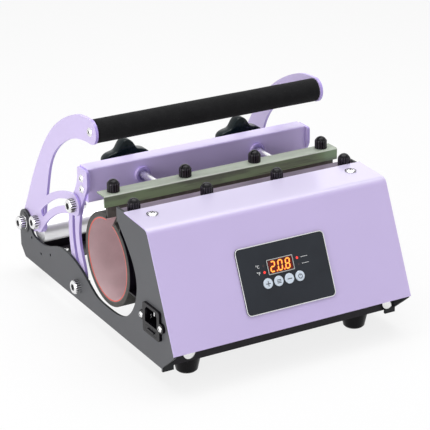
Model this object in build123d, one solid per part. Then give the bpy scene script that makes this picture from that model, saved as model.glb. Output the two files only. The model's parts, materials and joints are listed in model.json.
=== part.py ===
from build123d import *
import math
import os

# Tumbler heat press. Millimetres, +Z up, +X to the user's right, +Y to the rear.
# The origin lies on the table, under the middle of the machine.
# Side-view places are pairs (y, z): y from the cover's front edge, z from the table.

os.makedirs("parts", exist_ok=True)

# Frame
depth = 367.0
plate_past_stud = 13.9
plate_t = 2.5
floor_z = 18.0
sheet_t = 1.5
layer_gap = 0.5
fit_gap = 0.06
clear_gap = 0.3
seat_gap = 0.1
slip_gap = 0.05
press_gap = 0.02
screw_shank = 2.0

# Cover
cover_past_plate = 1.0
cover_t = 1.2
cover_front_z = 43.0
cover_slope = 126.0
cover_slope_deg = 65.6
cover_top = 48.3
cover_top_deg = 3.0
cover_bend_r = 9.0
cover_lip = 6.0
cover_opening_over = 3.0
cover_screw_x = 117.2
cover_screw_y = 83.0
cover_screw_r = 5.4
cover_screw_rise = 2.3
bracket_start = 22.0
bracket_end = 40.0
bracket_drop = 12.0

# Heating band
ring_y = 150.0
ring_z = 90.0
mat_r = 43.5
mat_t = 1.8
felt_t = 5.0
cradle_t = 1.5
band_rear_deg = 90.5
band_front_deg = 112.0
cradle_low_deg = 200.0
cradle_high_deg = 127.0
front_hem_y = 102.0
front_hem_len = 15.0
front_hem_z = 150.5
rear_hem_t = 4.5
back_panel_y = 79.0
band_past = 2.2

# Side plates: edges as offsets from the handle pivot, and from the band's centre
plate_rear_edge = [
    (-18.0, -6.5), (-33.5, -10.5), (-49.5, -10.5), (-86.5, 0.5),
    (-106.5, 2.5), (-139.5, -3.5), (-160.5, -13.0), (-180.5, -22.0),
]
plate_front_edge = [(-48.0, -44.0), (-71.5, -2.0)]
plate_shoulder = (-31.0, 56.0)
plate_corner = 11.0
plate_holes = [(-16.5, -13.5), (-40.5, -24.5), (-65.5, -16.5)]
plate_hole_r = 1.6
tab_w = 10.0
tab_h = 25.0
tab_drop = 3.0

# Linkage
handle_pivot = (352.5, 61.5)
crank_len = 37.5
crank_deg = 160.6
swing_pivot = (215.6, 35.4)
rocker_len = 91.7
rocker_deg = 87.6
link_arc_r = 150.0
link_w = 24.0
link_slot_w = 8.0
link_slot_end = 22.0
arm_t = 3.0
handle_lobe_r = 13.0
crank_lobe_r = 12.5
swing_lobe_r = 13.0
plate_lobe_r = 14.5
swing_slot_w = 6.5
pivot_r = 4.0
slot_bolt_r = 3.0
bolt_head_r = 7.3
bolt_head_h = 7.5
bolt_bevel = 0.9
bolt_socket_r = 4.0
bolt_socket_d = 3.5
nut_r = 6.2
nut_h = 5.5
washer_r = 11.5
washer_t = 1.5

# Swing arms: edges and slot as offsets from their pivot
swing_rear_edge = [(0.4, 121.6), (13.0, 99.0), (24.5, 74.0), (26.0, 55.0), (22.0, 28.0)]
swing_front_edge = [(-9.0, 26.0), (-2.0, 43.0), (0.5, 58.0), (-2.5, 77.0), (-11.0, 98.0), (-22.6, 116.6)]
swing_slot = [(11.5, 78.0), (13.0, 53.0), (3.5, 20.0)]
swing_tip_r = 3.0

# Handle
grip_centre = (179.5, 219.5)
grip_end_r = 13.2
foam_r = 12.6
grip_tube_r = 9.5
cross_tube_r = 13.5
cross_tube_wall = 1.5
cross_tube_offset = (-26.5, -2.5)
cross_tube_end = 3.0
handle_back_edge = [(-12.5, 47.0), (-44.5, 97.0), (-82.0, 137.0), (-133.0, 165.0)]
handle_inner_edge = [(-135.0, 139.5), (-97.5, 121.0), (-69.0, 89.0), (-56.0, 50.0)]
grip_screw_r = 5.0
grip_screw_rise = 2.0
grip_screw_len = 12.0

# Pressure frame
channel_front = 196.0
channel_back = 214.0
channel_bottom = 136.0
channel_top = 173.0
channel_t = 2.0
channel_screw_y = 203.5
channel_screw_zs = (149.5, 161.5)
rod_x = 70.0
rod_z = 156.5
rod_r = 4.0
rod_stub_r = 2.5
rod_stub_len = 6.0
bush_r = 8.5
bush_proud = 3.5
bush_len = 17.0
bush_step = 2.0
bush_recess_r = 6.4
bush_recess_d = 2.8
knob_gap = 14.0
knob_t = 13.0
knob_hub_r = 9.0
knob_hub_len = 6.0
knob_lobes = 5
knob_lobe_at = 21.5
knob_lobe_r = 6.3
knob_valley_r = 8.5
knob_bevel = 1.8

# Clamp bars
bar_past_stud = 14.9
bar_front = 143.5
bar_depth = 17.0
bar_height = 12.6
bar_top = 162.2
bar_t = 1.5
cap_pitch = 83.4
cap_r = 6.3
cap_h = 13.2
cap_crown = 5.0
stud_r = 2.0
stud_head_r = 3.0
stud_head_h = 1.6
rear_cap_y = 152.9
front_cap_y = 107.5
strip_t = 2.0

# Base
tray_front = 30.0
tray_wall_top = 48.0
tray_side_h = 11.0
rear_tray_inset = 7.0
rear_tray_d = 36.0
foot_top_r = 15.0
foot_low_r = 11.4
foot_bevel = 1.5
front_foot_x = 101.0
front_foot_in = 17.0
rear_foot_x = 96.0
rear_foot_in = 16.5
screw_head_r = 4.5
screw_head_h = 2.0
front_screw_x = 107.0
front_screw_r = 7.0
front_screw_z = 27.5
front_screw_rise = 2.6
tab_screw_in = 7.0

# Control panel
panel_w = 104.5
panel_h = 68.5
panel_t = 1.2
panel_up = 54.0
panel_corner = 5.0
window_w = 31.0
window_h = 15.8
window_at = (-4.3, 9.5)
window_rim = 1.4
button_r = 5.2
button_pitch = 12.5
button_first_x = -22.4
button_up = -5.9
button_proud = 1.0
button_travel = 0.6
button_bevel = 0.4
button_flange = 0.9
button_flange_at = 1.6
button_stem_r = 1.5
button_stem_at = 3.5
led_r = 1.3
led_places = [(16.1, 12.5), (16.3, 5.9), (-23.6, 5.6), (-23.7, 12.3)]
board_w = 84.0
board_h = 46.0
board_gap = 6.5
board_t = 1.6
post_r = 2.2
post_in = 4.0
window_back = 1.5
lens_back = 2.0
relay_size = (19.0, 15.0, 15.0)
relay_at = (24.0, 6.0)

# Power inlet and switch
inlet_at = (44.0, 64.0)
inlet_pitch = 40.0
inlet_flange_h = 32.0
inlet_flange_t = 3.0
inlet_body_w = 31.0
inlet_body_h = 28.0
inlet_body_d = 30.0
socket_w = 25.0
socket_h = 17.0
socket_up = 4.5
socket_d = 16.0
drawer_w = 22.0
drawer_h = 6.5
drawer_down = 10.2
drawer_d = 19.0
drawer_gap = 0.3
drawer_pull = (14.0, 1.6, 1.2)
fuse_r = 2.5
fuse_at = 2.0
pin_size = (2.0, 4.0)
pin_places = [(0.0, 2.5), (-7.0, -2.0), (7.0, -2.0)]
pin_back = 4.0
inlet_ear_w = 10.0
inlet_screw_r = 3.2
inlet_screw_rise = 1.8
switch_at = (46.0, 112.0)
bezel_w = 15.0
bezel_h = 23.0
bezel_t = 2.0
rocker_half = 7.8
rocker_w = 10.4
rocker_tilt = 10.0
rocker_in = 2.5
rocker_profile = [
    (-5.0, -3.0), (0.8, -rocker_half), (4.6, -rocker_half), (3.2, 0.0),
    (4.6, rocker_half), (0.8, rocker_half), (-5.0, 3.0),
]
rocker_gap = 0.4
axle_r = 1.2
axle_past = 0.35
switch_d = 14.0
switch_well = 9.0

nodes = {}
front = -depth / 2
plate_outer = 1.5 * cap_pitch + plate_past_stud
plate_inner = plate_outer - plate_t
cover_half = plate_outer + cover_past_plate
bar_half = 1.5 * cap_pitch + bar_past_stud
knob_front = channel_back + knob_gap
rear_tray_back = depth - rear_tray_inset
rear_tray_front = rear_tray_back - rear_tray_d
front_foot = (front_foot_x, tray_front + front_foot_in)
rear_foot = (rear_foot_x, rear_tray_back - rear_foot_in)
arm_outer = plate_inner - layer_gap
arm_inner = arm_outer - arm_t
felt_in = mat_r + mat_t
felt_out = felt_in + felt_t
band_half = plate_inner - layer_gap
web_back = bar_front + bar_t


def polar(centre, radius, degrees):
    angle = math.radians(degrees)
    return (centre[0] + radius * math.cos(angle), centre[1] + radius * math.sin(angle))


# Points given as offsets from a centre.
def offsets(centre, points):
    return [(centre[0] + y, centre[1] + z) for y, z in points]


crank_pin = polar(handle_pivot, crank_len, crank_deg)
slot_bolt = polar(swing_pivot, rocker_len, rocker_deg)
cross_tube = (handle_pivot[0] + cross_tube_offset[0], handle_pivot[1] + cross_tube_offset[1])
ring = (ring_y, ring_z)
slope_dir = polar((0, 0), 1, cover_slope_deg)
top_dir = polar((0, 0), 1, cover_top_deg)
cover_foot = (0.0, cover_front_z)
cover_bend = polar(cover_foot, cover_slope, cover_slope_deg)
cover_back = polar(cover_bend, cover_top, cover_top_deg)


# Extrudes a side-view sketch from x over a width.
def across(profile, x, width):
    plane = Plane(origin=(x, front, 0), x_dir=(0, 1, 0), z_dir=(1, 0, 0))
    return extrude(plane * profile, amount=width, dir=(1, 0, 0))


# Round bar along X between two x places.
def round_x(centre, radius, x_from, x_to):
    low = min(x_from, x_to)
    return across(Pos(*centre) * Circle(radius), low, abs(x_to - x_from))


# Round bar along Z between two heights.
def round_z(x, y, radius, z_from, z_to):
    return Pos(x, front + y, z_from) * Cylinder(
        radius, z_to - z_from, align=(Align.CENTER, Align.CENTER, Align.MIN)
    )


# Round bar along Y between two side-view places.
def round_y(x, z, radius, y_from, y_to):
    plane = Plane(origin=(x, front + y_from, z), z_dir=(0, 1, 0))
    return extrude(plane * Circle(radius), amount=y_to - y_from)


def block(x_from, x_to, y_from, y_to, z_from, z_to):
    size = (x_to - x_from, y_to - y_from, z_to - z_from)
    return Pos(x_from, front + y_from, z_from) * Box(*size, align=(Align.MIN,) * 3)


def mirrored(shape):
    return mirror(shape, about=Plane.YZ)


def group(shapes):
    return Compound(children=list(shapes))


# Straight strip of a thickness between two side-view points, with round ends.
def strip(start, end, thickness):
    run = Vector(end[0] - start[0], end[1] - start[1])
    middle = ((start[0] + end[0]) / 2, (start[1] + end[1]) / 2)
    turn = math.degrees(math.atan2(run.Y, run.X))
    return Pos(*middle) * Rot(0, 0, turn) * SlotOverall(run.length + thickness, thickness)


# Bent strip along a chain of side-view points.
def bent(points, thickness):
    profile = strip(points[0], points[1], thickness)
    for start, end in zip(points[1:-1], points[2:]):
        profile += strip(start, end, thickness)
    return profile


# Ring sector about the band's centre, anticlockwise from one angle to another.
def sector(inner, outer, start_deg, end_deg):
    inside = lobe_arc(ring, inner, start_deg, end_deg)
    outside = lobe_arc(ring, outer, end_deg, start_deg)
    return make_face([inside, Line(inside @ 1, outside @ 0), outside, Line(outside @ 1, inside @ 0)])


def lobe_arc(centre, radius, start_deg, end_deg):
    middle = (start_deg + end_deg) / 2
    return ThreePointArc(*[polar(centre, radius, angle) for angle in (start_deg, middle, end_deg)])


# Round body standing on the ground plane, its top a part of a sphere above the rim.
def domed(radius, rim, height):
    rise = height - rim
    sphere = (radius ** 2 + rise ** 2) / (2 * rise)
    half_deg = math.degrees(math.atan2(sphere - rise, radius)) / 2 + 45
    corner = (radius, rim)
    arc = ThreePointArc(corner, polar((0, height - sphere), sphere, half_deg), (0, height))
    side = make_face([Line((0, 0), (radius, 0)), Line((radius, 0), corner), arc, Line((0, height), (0, 0))])
    return revolve(Plane.XZ * side, Axis.Z)


# Plane on a face at x, looking outwards along sign.
def face_plane(centre, x, sign):
    return Plane(origin=(x, front + centre[0], centre[1]), x_dir=(0, 1, 0), z_dir=(sign, 0, 0))


# Socket screw head on a face at x, its rim bevelled.
def socket_head(centre, x, sign):
    head = extrude(Circle(bolt_head_r), amount=bolt_head_h)
    head = chamfer(head.edges().sort_by(Axis.Z)[-1], bolt_bevel)
    recess = extrude(RegularPolygon(bolt_socket_r, 6), amount=bolt_socket_d)
    return face_plane(centre, x, sign) * (head - Pos(0, 0, bolt_head_h - bolt_socket_d) * recess)


# Round screw head on a face at x, bevelled over most of its height.
def round_head(centre, x, sign, radius, height):
    head = extrude(Circle(radius), amount=height)
    return face_plane(centre, x, sign) * chamfer(head.edges().sort_by(Axis.Z)[-1], height * 0.6)


def hex_nut(centre, x, sign, bore):
    low = x if sign > 0 else x - nut_h
    profile = RegularPolygon(nut_r, 6) - Circle(bore)
    return across(Pos(*centre) * profile, low, nut_h)


# Cover: one bent sheet with a turned-down rear lip
def cover_line(inset):
    slope_in = (slope_dir[1], -slope_dir[0])
    top_in = (top_dir[1], -top_dir[0])
    foot = (cover_foot[0] + slope_in[0] * inset, cover_foot[1] + slope_in[1] * inset)
    share = inset / (1 + slope_in[0] * top_in[0] + slope_in[1] * top_in[1])
    bend = (
        cover_bend[0] + (slope_in[0] + top_in[0]) * share,
        cover_bend[1] + (slope_in[1] + top_in[1]) * share,
    )
    back = (cover_back[0] + top_in[0] * inset, cover_back[1] + top_in[1] * inset)
    return foot, bend, back


# Place on the sloped front, up the slope and in from its outer face.
def on_slope(up, inset=0.0):
    foot = cover_line(inset)[0]
    return polar(foot, up, cover_slope_deg)


def panel_frame(x, up, proud):
    y, z = on_slope(up, -proud)
    normal = (0, -slope_dir[1], slope_dir[0])
    return Plane(origin=(x, front + y, z), x_dir=(1, 0, 0), z_dir=normal)


def bent_region(inset, far):
    foot, bend, back = cover_line(inset)
    region = make_face(Polyline(foot, bend, back, (back[0], far), (foot[0] + 30, far), close=True))
    corner = region.vertices().sort_by_distance(Vector(bend[0], bend[1], 0))[0]
    return fillet(corner, cover_bend_r - inset)


def make_cover():
    skin = bent_region(0, floor_z) - bent_region(cover_t, floor_z)
    foot, _, back = cover_line(0)
    inner_foot, _, inner_back = cover_line(cover_t)
    keep = make_face(
        Polyline(foot, (foot[0] - 20, back[1] + 20), (back[0] - 0.01, back[1] + 20), back, inner_back,
                 (inner_back[0], inner_foot[1] + 60), (inner_foot[0] + 40, inner_foot[1] + 60),
                 inner_foot, close=True)
    )
    cover = across(skin & keep, -cover_half, 2 * cover_half)
    lip_back = back[0] - press_gap
    lip_low = back[1] - cover_lip
    lip = block(-arm_outer, arm_outer, back[0] - cover_t, lip_back, lip_low, back[1] - cover_t / 2)
    opening = Rectangle(board_w + 2 * cover_opening_over, board_h + 2 * cover_opening_over)
    window = extrude(panel_frame(0, panel_up, 1) * opening, amount=-cover_t - 3)
    cover = cover + lip - window
    for x in (-cover_screw_x, cover_screw_x):
        cover -= round_z(x, cover_screw_y, screw_shank + clear_gap, cover_bend[1] - 10, cover_bend[1] + 10)
    return cover


nodes["front_cover"] = make_cover()


# Side plates: the outline swings over the pivots and dips under the heating band
def plate_outline():
    low = (ring_y, ring_z - felt_out - band_past)
    lobe_front = (handle_pivot[0] - plate_lobe_r, handle_pivot[1])
    lobe_back = (handle_pivot[0] + plate_lobe_r, handle_pivot[1])
    lobe_top = (handle_pivot[0], handle_pivot[1] + plate_lobe_r)
    foot, bend, back = cover_line(cover_t)
    rear_edge = offsets(handle_pivot, plate_rear_edge)
    front_edge = offsets(ring, plate_front_edge)
    shoulder = offsets(ring, [plate_shoulder])[0]
    corner = (lobe_back[0], floor_z + plate_corner)
    corner_foot = (lobe_back[0] - plate_corner, floor_z)
    toe = (tray_front - 1, floor_z)
    outline = make_face(
        [
            Line(toe, corner_foot),
            Line(corner_foot, corner),
            Line(corner, lobe_back),
            ThreePointArc(lobe_back, lobe_top, lobe_front),
            Spline(lobe_front, *rear_edge, low, tangents=[(0, -1), (-1, 0)], tangent_scalars=[1, 1]),
            Spline(low, *front_edge, shoulder, tangents=[(-1, 0), (0.72, 0.7)], tangent_scalars=[1, 1]),
            Line(shoulder, (shoulder[0], back[1])),
            Line((shoulder[0], back[1]), back),
            Line(back, bend),
            Line(bend, foot),
            Line(foot, (foot[0] + 1, foot[1] - 2)),
            Line((foot[0] + 1, foot[1] - 2), toe),
        ]
    )
    nose = outline.vertices().sort_by_distance(Vector(bend[0], bend[1], 0))[0]
    return fillet(nose, cover_bend_r - cover_t)


def plate_tab():
    back = tray_front - 1
    low = floor_z - tab_drop
    tab = block(-plate_inner, -plate_inner + tab_w, back - plate_t, back, low, low + tab_h)
    web = block(-plate_outer, -plate_inner, back - plate_t, back, low, floor_z + 4)
    return tab + web


def make_plate(sign):
    outline = plate_outline()
    for centre in (handle_pivot, swing_pivot):
        outline -= Pos(*centre) * Circle(pivot_r + fit_gap)
    for hole in offsets(handle_pivot, plate_holes):
        outline -= Pos(*hole) * Circle(plate_hole_r)
    plate = across(outline, -plate_outer, plate_t) + plate_tab()
    if sign < 0:
        body = RectangleRounded(inlet_body_w + 2 * clear_gap, inlet_body_h + 2 * clear_gap, 2)
        plate -= across(Pos(*inlet_at) * body, -plate_outer - 1, plate_t + 2)
        for side in (-1, 1):
            centre = (inlet_at[0] + side * inlet_pitch / 2, inlet_at[1])
            plate -= round_x(centre, screw_shank, -plate_outer - 1, -plate_inner + 1)
        return plate
    plate = mirrored(plate)
    hole = Pos(*switch_at) * Rectangle(bezel_w - 2 + clear_gap, bezel_h - 2 + clear_gap)
    return plate - across(hole, plate_inner - 1, plate_t + 2)


nodes["side_plate_left"] = make_plate(-1)
nodes["side_plate_right"] = make_plate(1)


# Base trays, feet and their screws
def make_front_tray():
    inner = plate_inner - seat_gap
    floor = block(-inner, inner, tray_front, back_panel_y - seat_gap, floor_z, floor_z + sheet_t)
    wall = block(-inner, inner, tray_front, tray_front + sheet_t, floor_z, tray_wall_top)
    tray = floor + wall
    for x in (-inner, inner - sheet_t):
        top = floor_z + tray_side_h
        tray += block(x, x + sheet_t, tray_front, back_panel_y - seat_gap, floor_z, top)
    return tray


def make_rear_tray():
    inner = plate_inner - seat_gap
    floor = block(-inner, inner, rear_tray_front, rear_tray_back, floor_z, floor_z + sheet_t)
    wall = block(-inner, inner, rear_tray_back - sheet_t, rear_tray_back, floor_z, floor_z + tray_side_h)
    tray = floor + wall
    for x in (-inner, inner - sheet_t):
        tray += block(x, x + sheet_t, rear_tray_front, rear_tray_back, floor_z, floor_z + tray_side_h)
    return tray


def foot_places():
    for x, y in (front_foot, rear_foot):
        yield -x, y
        yield x, y


def make_foot(x, y):
    side = Polyline(
        (screw_shank, 0), (foot_low_r - foot_bevel, 0), (foot_low_r, foot_bevel), (foot_top_r, floor_z),
        (screw_shank, floor_z), close=True,
    )
    return Pos(x, front + y, 0) * revolve(Plane.XZ * make_face(side), Axis.Z)


def make_foot_screw(x, y):
    top = floor_z + sheet_t
    shank = round_z(x, y, screw_shank - slip_gap, floor_z * 0.5, top)
    return shank + round_z(x, y, screw_head_r, top, top + screw_head_h)


front_tray = make_front_tray()
rear_tray = make_rear_tray()
for foot_x, foot_y in foot_places():
    hole = round_z(foot_x, foot_y, screw_shank, floor_z - 1, floor_z + sheet_t + 1)
    front_tray -= hole
    rear_tray -= hole
nodes["base_tray"] = front_tray
nodes["rear_tray"] = rear_tray
nodes["rubber_feet"] = group(make_foot(x, y) for x, y in foot_places())
nodes["foot_screws"] = group(make_foot_screw(x, y) for x, y in foot_places())

# Truss-head screws under the cover's front edge, one on the tray wall and one on the right tab
def truss_head(x, y_face):
    plane = Plane(origin=(x, front + y_face, front_screw_z), x_dir=(1, 0, 0), z_dir=(0, -1, 0))
    return plane * domed(front_screw_r, front_screw_rise * 0.15, front_screw_rise)


nodes["front_screws"] = group(
    [truss_head(-front_screw_x, tray_front), truss_head(plate_inner - tab_screw_in, tray_front - 1 - plate_t)]
)


# Cover brackets under the top sheet, and the two domed screws that pull the cover down
def make_bracket(sign):
    bend = cover_line(cover_t)[1]
    start = polar(bend, bracket_start, cover_top_deg)
    end = polar(bend, bracket_end, cover_top_deg)

    def web(drop):
        low = [(end[0], end[1] - drop), (start[0], start[1] - drop)]
        return make_face(Polyline(start, end, *low, close=True))

    bracket = across(web(bracket_drop), -plate_inner, sheet_t)
    bracket += across(web(sheet_t), -plate_inner, plate_inner - cover_screw_x + 7)
    hole_r = screw_shank + clear_gap
    bracket -= round_z(-cover_screw_x, cover_screw_y, hole_r, cover_bend[1] - 14, cover_bend[1] + 10)
    return bracket if sign < 0 else mirrored(bracket)


def cover_screw(x):
    height = cover_bend[1] + (cover_screw_y - cover_bend[0]) * math.tan(math.radians(cover_top_deg))
    head = domed(cover_screw_r, clear_gap, cover_screw_rise)
    shank = extrude(Circle(screw_shank - seat_gap), amount=-9)
    return Pos(x, front + cover_screw_y, height) * Rot(cover_top_deg, 0, 0) * (head + shank)


nodes["cover_brackets"] = group([make_bracket(-1), make_bracket(1)])
nodes["cover_top_screws"] = group([cover_screw(-cover_screw_x), cover_screw(cover_screw_x)])

# Heating band: felt outside, heating mat inside, cradle in front
front_start = polar(ring, (felt_in + felt_out) / 2, band_front_deg)
front_turn = (front_hem_y + front_hem_len, front_hem_z)
front_end = (front_hem_y + felt_t / 2, front_hem_z)


def felt_profile():
    felt = sector(felt_in, felt_out, band_front_deg, 360 + band_rear_deg)
    felt += bent([front_start, front_turn, front_end], felt_t)
    riser_back = web_back + 2 * seat_gap + rear_hem_t
    riser_foot = ring_z + felt_in + 2 * clear_gap
    riser = Pos(riser_back - rear_hem_t / 2, (riser_foot + rear_hem_z) / 2)
    felt += riser * Rectangle(rear_hem_t, rear_hem_z - riser_foot)
    return felt


rear_hem_z = bar_top - bar_height - clear_gap
mat_turn = (front_turn[0] + 1.6, front_turn[1] + (felt_t + mat_t) / 2)
mat_end = (front_end[0], mat_turn[1])
mat_start = polar(ring, mat_r + mat_t / 2, band_front_deg - 3)
felt_sketch = felt_profile()
mat_sketch = sector(mat_r, felt_in, band_front_deg - 3, 360 + band_rear_deg)
mat_sketch += bent([mat_start, mat_turn, mat_end], mat_t)
mat_sketch -= felt_sketch

stud_xs = [cap_pitch * (i - 1.5) for i in range(4)]


def drill(shape, y, radius, z_from, z_to):
    for x in stud_xs:
        shape -= round_z(x, y, radius, z_from, z_to)
    return shape


stud_hole_r = stud_r + seat_gap
hem_low = front_hem_z - felt_t
hem_high = front_hem_z + felt_t / 2 + mat_t + 3
for name, sketch in (("insulation_felt", felt_sketch), ("heating_mat", mat_sketch)):
    layer = across(sketch, -band_half, 2 * band_half)
    nodes[name] = drill(layer, front_cap_y, stud_hole_r, hem_low, hem_high)


def cradle_profile():
    inner = felt_out + seat_gap
    middle = inner + cradle_t / 2
    top = front_hem_z - felt_t / 2 - cradle_t / 2 - slip_gap
    profile = sector(inner, inner + cradle_t, cradle_high_deg, cradle_low_deg)
    high = polar(ring, middle, cradle_high_deg)
    low = polar(ring, middle, cradle_low_deg)
    profile += bent([high, (front_turn[0] - 5, top), (front_hem_y, top)], cradle_t)
    panel = back_panel_y + cradle_t / 2
    profile += bent([low, (panel, low[1]), (panel, floor_z + cradle_t / 2)], cradle_t)
    return profile


cradle = across(cradle_profile(), -plate_inner, 2 * plate_inner)
nodes["heater_cradle"] = drill(cradle, front_cap_y, stud_hole_r, hem_low - 4, hem_high)

# Front clamp: strip, studs and cap nuts
strip_z = front_hem_z + felt_t / 2 + mat_t
strip_top = strip_z + strip_t
strip_back = front_hem_y + front_hem_len + 2
clamp_strip = block(-band_half, band_half, front_hem_y, strip_back, strip_z, strip_top)
nodes["front_clamp_strip"] = drill(clamp_strip, front_cap_y, stud_hole_r, strip_z - 1, strip_top + 1)


def make_cap(x, y, z):
    return Pos(x, front + y, z) * domed(cap_r, cap_h - cap_crown, cap_h)


def make_stud(x, y, z_low, z_high):
    return round_z(x, y, stud_r, z_low, z_high) + round_z(x, y, stud_head_r, z_low - stud_head_h, z_low)


front_stud_low = front_hem_z - felt_t / 2 - cradle_t - slip_gap
nodes["front_cap_nuts"] = group(make_cap(x, front_cap_y, strip_top) for x in stud_xs)
nodes["front_studs"] = group(make_stud(x, front_cap_y, front_stud_low, strip_top) for x in stud_xs)

# Rear clamp: angle bar, hem, studs, cap nuts and rod sockets
flange_low = bar_top - bar_t
rear_stud_low = flange_low - seat_gap - mat_t - layer_gap


def make_angle():
    web = block(-bar_half, bar_half, bar_front, web_back, bar_top - bar_height, bar_top)
    flange = block(-bar_half, bar_half, bar_front, bar_front + bar_depth, flange_low, bar_top)
    angle = web + flange
    corner = angle.edges().filter_by(Axis.X).sort_by_distance((0, front + bar_front, bar_top))[0]
    return fillet(corner, bar_t)


def make_rear_hem():
    low = rear_hem_z + clear_gap
    start = web_back + 2 * seat_gap
    foot = start + rear_hem_t
    high = flange_low - seat_gap
    fold = rear_stud_low
    hem = block(-band_half, band_half, start, foot, low, high)
    hem += block(-band_half, band_half, start, bar_front + bar_depth - 1, fold, high)
    for x in (-rod_x, rod_x):
        hem -= round_y(x, rod_z, rod_r + 4 * clear_gap, start - 1, bar_front + bar_depth)
    return hem


def make_socket(x):
    outer = round_y(x, rod_z, rod_r + seat_gap, web_back, web_back + rod_stub_len)
    return outer - round_y(x, rod_z, rod_stub_r + fit_gap, web_back, web_back + rod_stub_len)


angle = make_angle() + make_socket(-rod_x) + make_socket(rod_x)
nodes["clamp_angle"] = drill(angle, rear_cap_y, stud_hole_r, flange_low - 1, bar_top + 1)
nodes["mat_rear_hem"] = drill(make_rear_hem(), rear_cap_y, stud_hole_r, flange_low - 5, bar_top)
nodes["rear_cap_nuts"] = group(make_cap(x, rear_cap_y, bar_top) for x in stud_xs)
nodes["rear_studs"] = group(make_stud(x, rear_cap_y, rear_stud_low, bar_top) for x in stud_xs)


# Swing frame: two slotted arms, the channel between them and its fasteners
def swing_outline():
    top = channel_top - 1
    rear_tip = (channel_back + 1, top)
    front_tip = (channel_front - 4, top)
    rear_edge = offsets(swing_pivot, swing_rear_edge)
    front_edge = offsets(swing_pivot, swing_front_edge)
    lobe = lobe_arc(swing_pivot, swing_lobe_r, 15, -180)
    rear = Spline(rear_tip, *rear_edge, lobe @ 0, tangents=[(0, -1), (-0.35, -0.94)])
    fore = Spline(lobe @ 1, *front_edge, front_tip, tangents=[(0, 1), (0, 1)])
    outline = make_face([rear, lobe, fore, Line(front_tip, rear_tip)])
    return fillet(outline.vertices().sort_by(Axis.Y)[-2:], swing_tip_r)


def make_swing_arm():
    outline = swing_outline()
    outline -= SlotArc(ThreePointArc(*offsets(swing_pivot, swing_slot)), swing_slot_w)
    outline -= Pos(*swing_pivot) * Circle(pivot_r + fit_gap)
    outline -= Pos(*slot_bolt) * Circle(slot_bolt_r + slip_gap)
    for height in channel_screw_zs:
        outline -= Pos(channel_screw_y, height) * Circle(screw_shank)
    return across(outline, -arm_outer, arm_t)


def make_channel():
    half = arm_inner
    outer = block(-half, half, channel_front, channel_back, channel_bottom, channel_top)
    hollow_half = half - channel_t
    hollow = block(
        -hollow_half, hollow_half, channel_front + channel_t, channel_back + 1,
        channel_bottom + channel_t, channel_top - channel_t,
    )
    channel = outer - hollow
    long_edges = channel.edges().filter_by(Axis.X).sort_by(Axis.Y)[:2]
    channel = fillet(long_edges, channel_t * 0.9)
    for x in (-rod_x, rod_x):
        channel -= round_y(x, rod_z, bush_r - bush_step, channel_front - 1, channel_back)
    for height in channel_screw_zs:
        channel -= round_x((channel_screw_y, height), screw_shank, -half - 1, half + 1)
    return channel


def make_bush(x):
    start = channel_front - bush_proud
    collar = round_y(x, rod_z, bush_r, start, channel_front)
    neck = round_y(x, rod_z, bush_r - bush_step - slip_gap, channel_front, start + bush_len)
    recess = round_y(x, rod_z, bush_recess_r, start - 1, start + bush_recess_d)
    return collar + neck - recess - round_y(x, rod_z, rod_r + fit_gap, start - 1, start + bush_len + 1)


def channel_screw(height):
    centre = (channel_screw_y, height)
    head = round_head(centre, -arm_outer, -1, screw_head_r, screw_head_h * 1.2)
    return head + round_x(centre, screw_shank - seat_gap, -arm_outer, -arm_inner + channel_t)


swing_arm = make_swing_arm()
nodes["swing_arm_left"] = swing_arm
nodes["swing_arm_right"] = mirrored(swing_arm)
nodes["pressure_channel"] = make_channel()
nodes["rod_bushes"] = group(make_bush(x) for x in (-rod_x, rod_x))
left_screws = [channel_screw(height) for height in channel_screw_zs]
nodes["channel_screws"] = group(left_screws + [mirrored(screw) for screw in left_screws])


# Pressure rods with star knobs
def make_rod(x):
    start = web_back + 2 * seat_gap
    stub = round_y(x, rod_z, rod_stub_r, start, start + rod_stub_len)
    return stub + round_y(x, rod_z, rod_r, start + rod_stub_len, knob_front)


def make_knob(x):
    lobe = Pos(knob_lobe_at / 2, 0) * SlotCenterToCenter(knob_lobe_at, 2 * knob_lobe_r)
    outline = Rot(0, 0, 90) * lobe
    for i in range(1, knob_lobes):
        outline += Rot(0, 0, 90 + 360 / knob_lobes * i) * lobe
    valleys = outline.vertices().sort_by_distance(Vector(0, 0, 0))[:knob_lobes]
    outline = fillet(valleys, knob_valley_r)
    plane = Plane(origin=(x, front + knob_front, rod_z), x_dir=(-1, 0, 0), z_dir=(0, 1, 0))
    knob = extrude(plane * outline, amount=knob_t)
    knob = chamfer(knob.edges().filter_by(Plane.XZ), knob_bevel)
    hub_front = knob_front - knob_hub_len
    hub = round_y(x, rod_z, knob_hub_r, hub_front, knob_front)
    return knob + hub - round_y(x, rod_z, rod_r + press_gap, hub_front, knob_front)


for side, x in (("left", -rod_x), ("right", rod_x)):
    nodes["pressure_rod_" + side] = make_rod(x)
    nodes["star_knob_" + side] = make_knob(x)


# Slotted link plates: an arc band from the crank pin to the slot bolt
def link_centre():
    run = Vector(slot_bolt[0] - crank_pin[0], slot_bolt[1] - crank_pin[1])
    middle = ((slot_bolt[0] + crank_pin[0]) / 2, (slot_bolt[1] + crank_pin[1]) / 2)
    rise = math.sqrt(link_arc_r ** 2 - run.length ** 2 / 4)
    across_run = (-run.Y / run.length, run.X / run.length)
    return (middle[0] + across_run[0] * rise, middle[1] + across_run[1] * rise)


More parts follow.
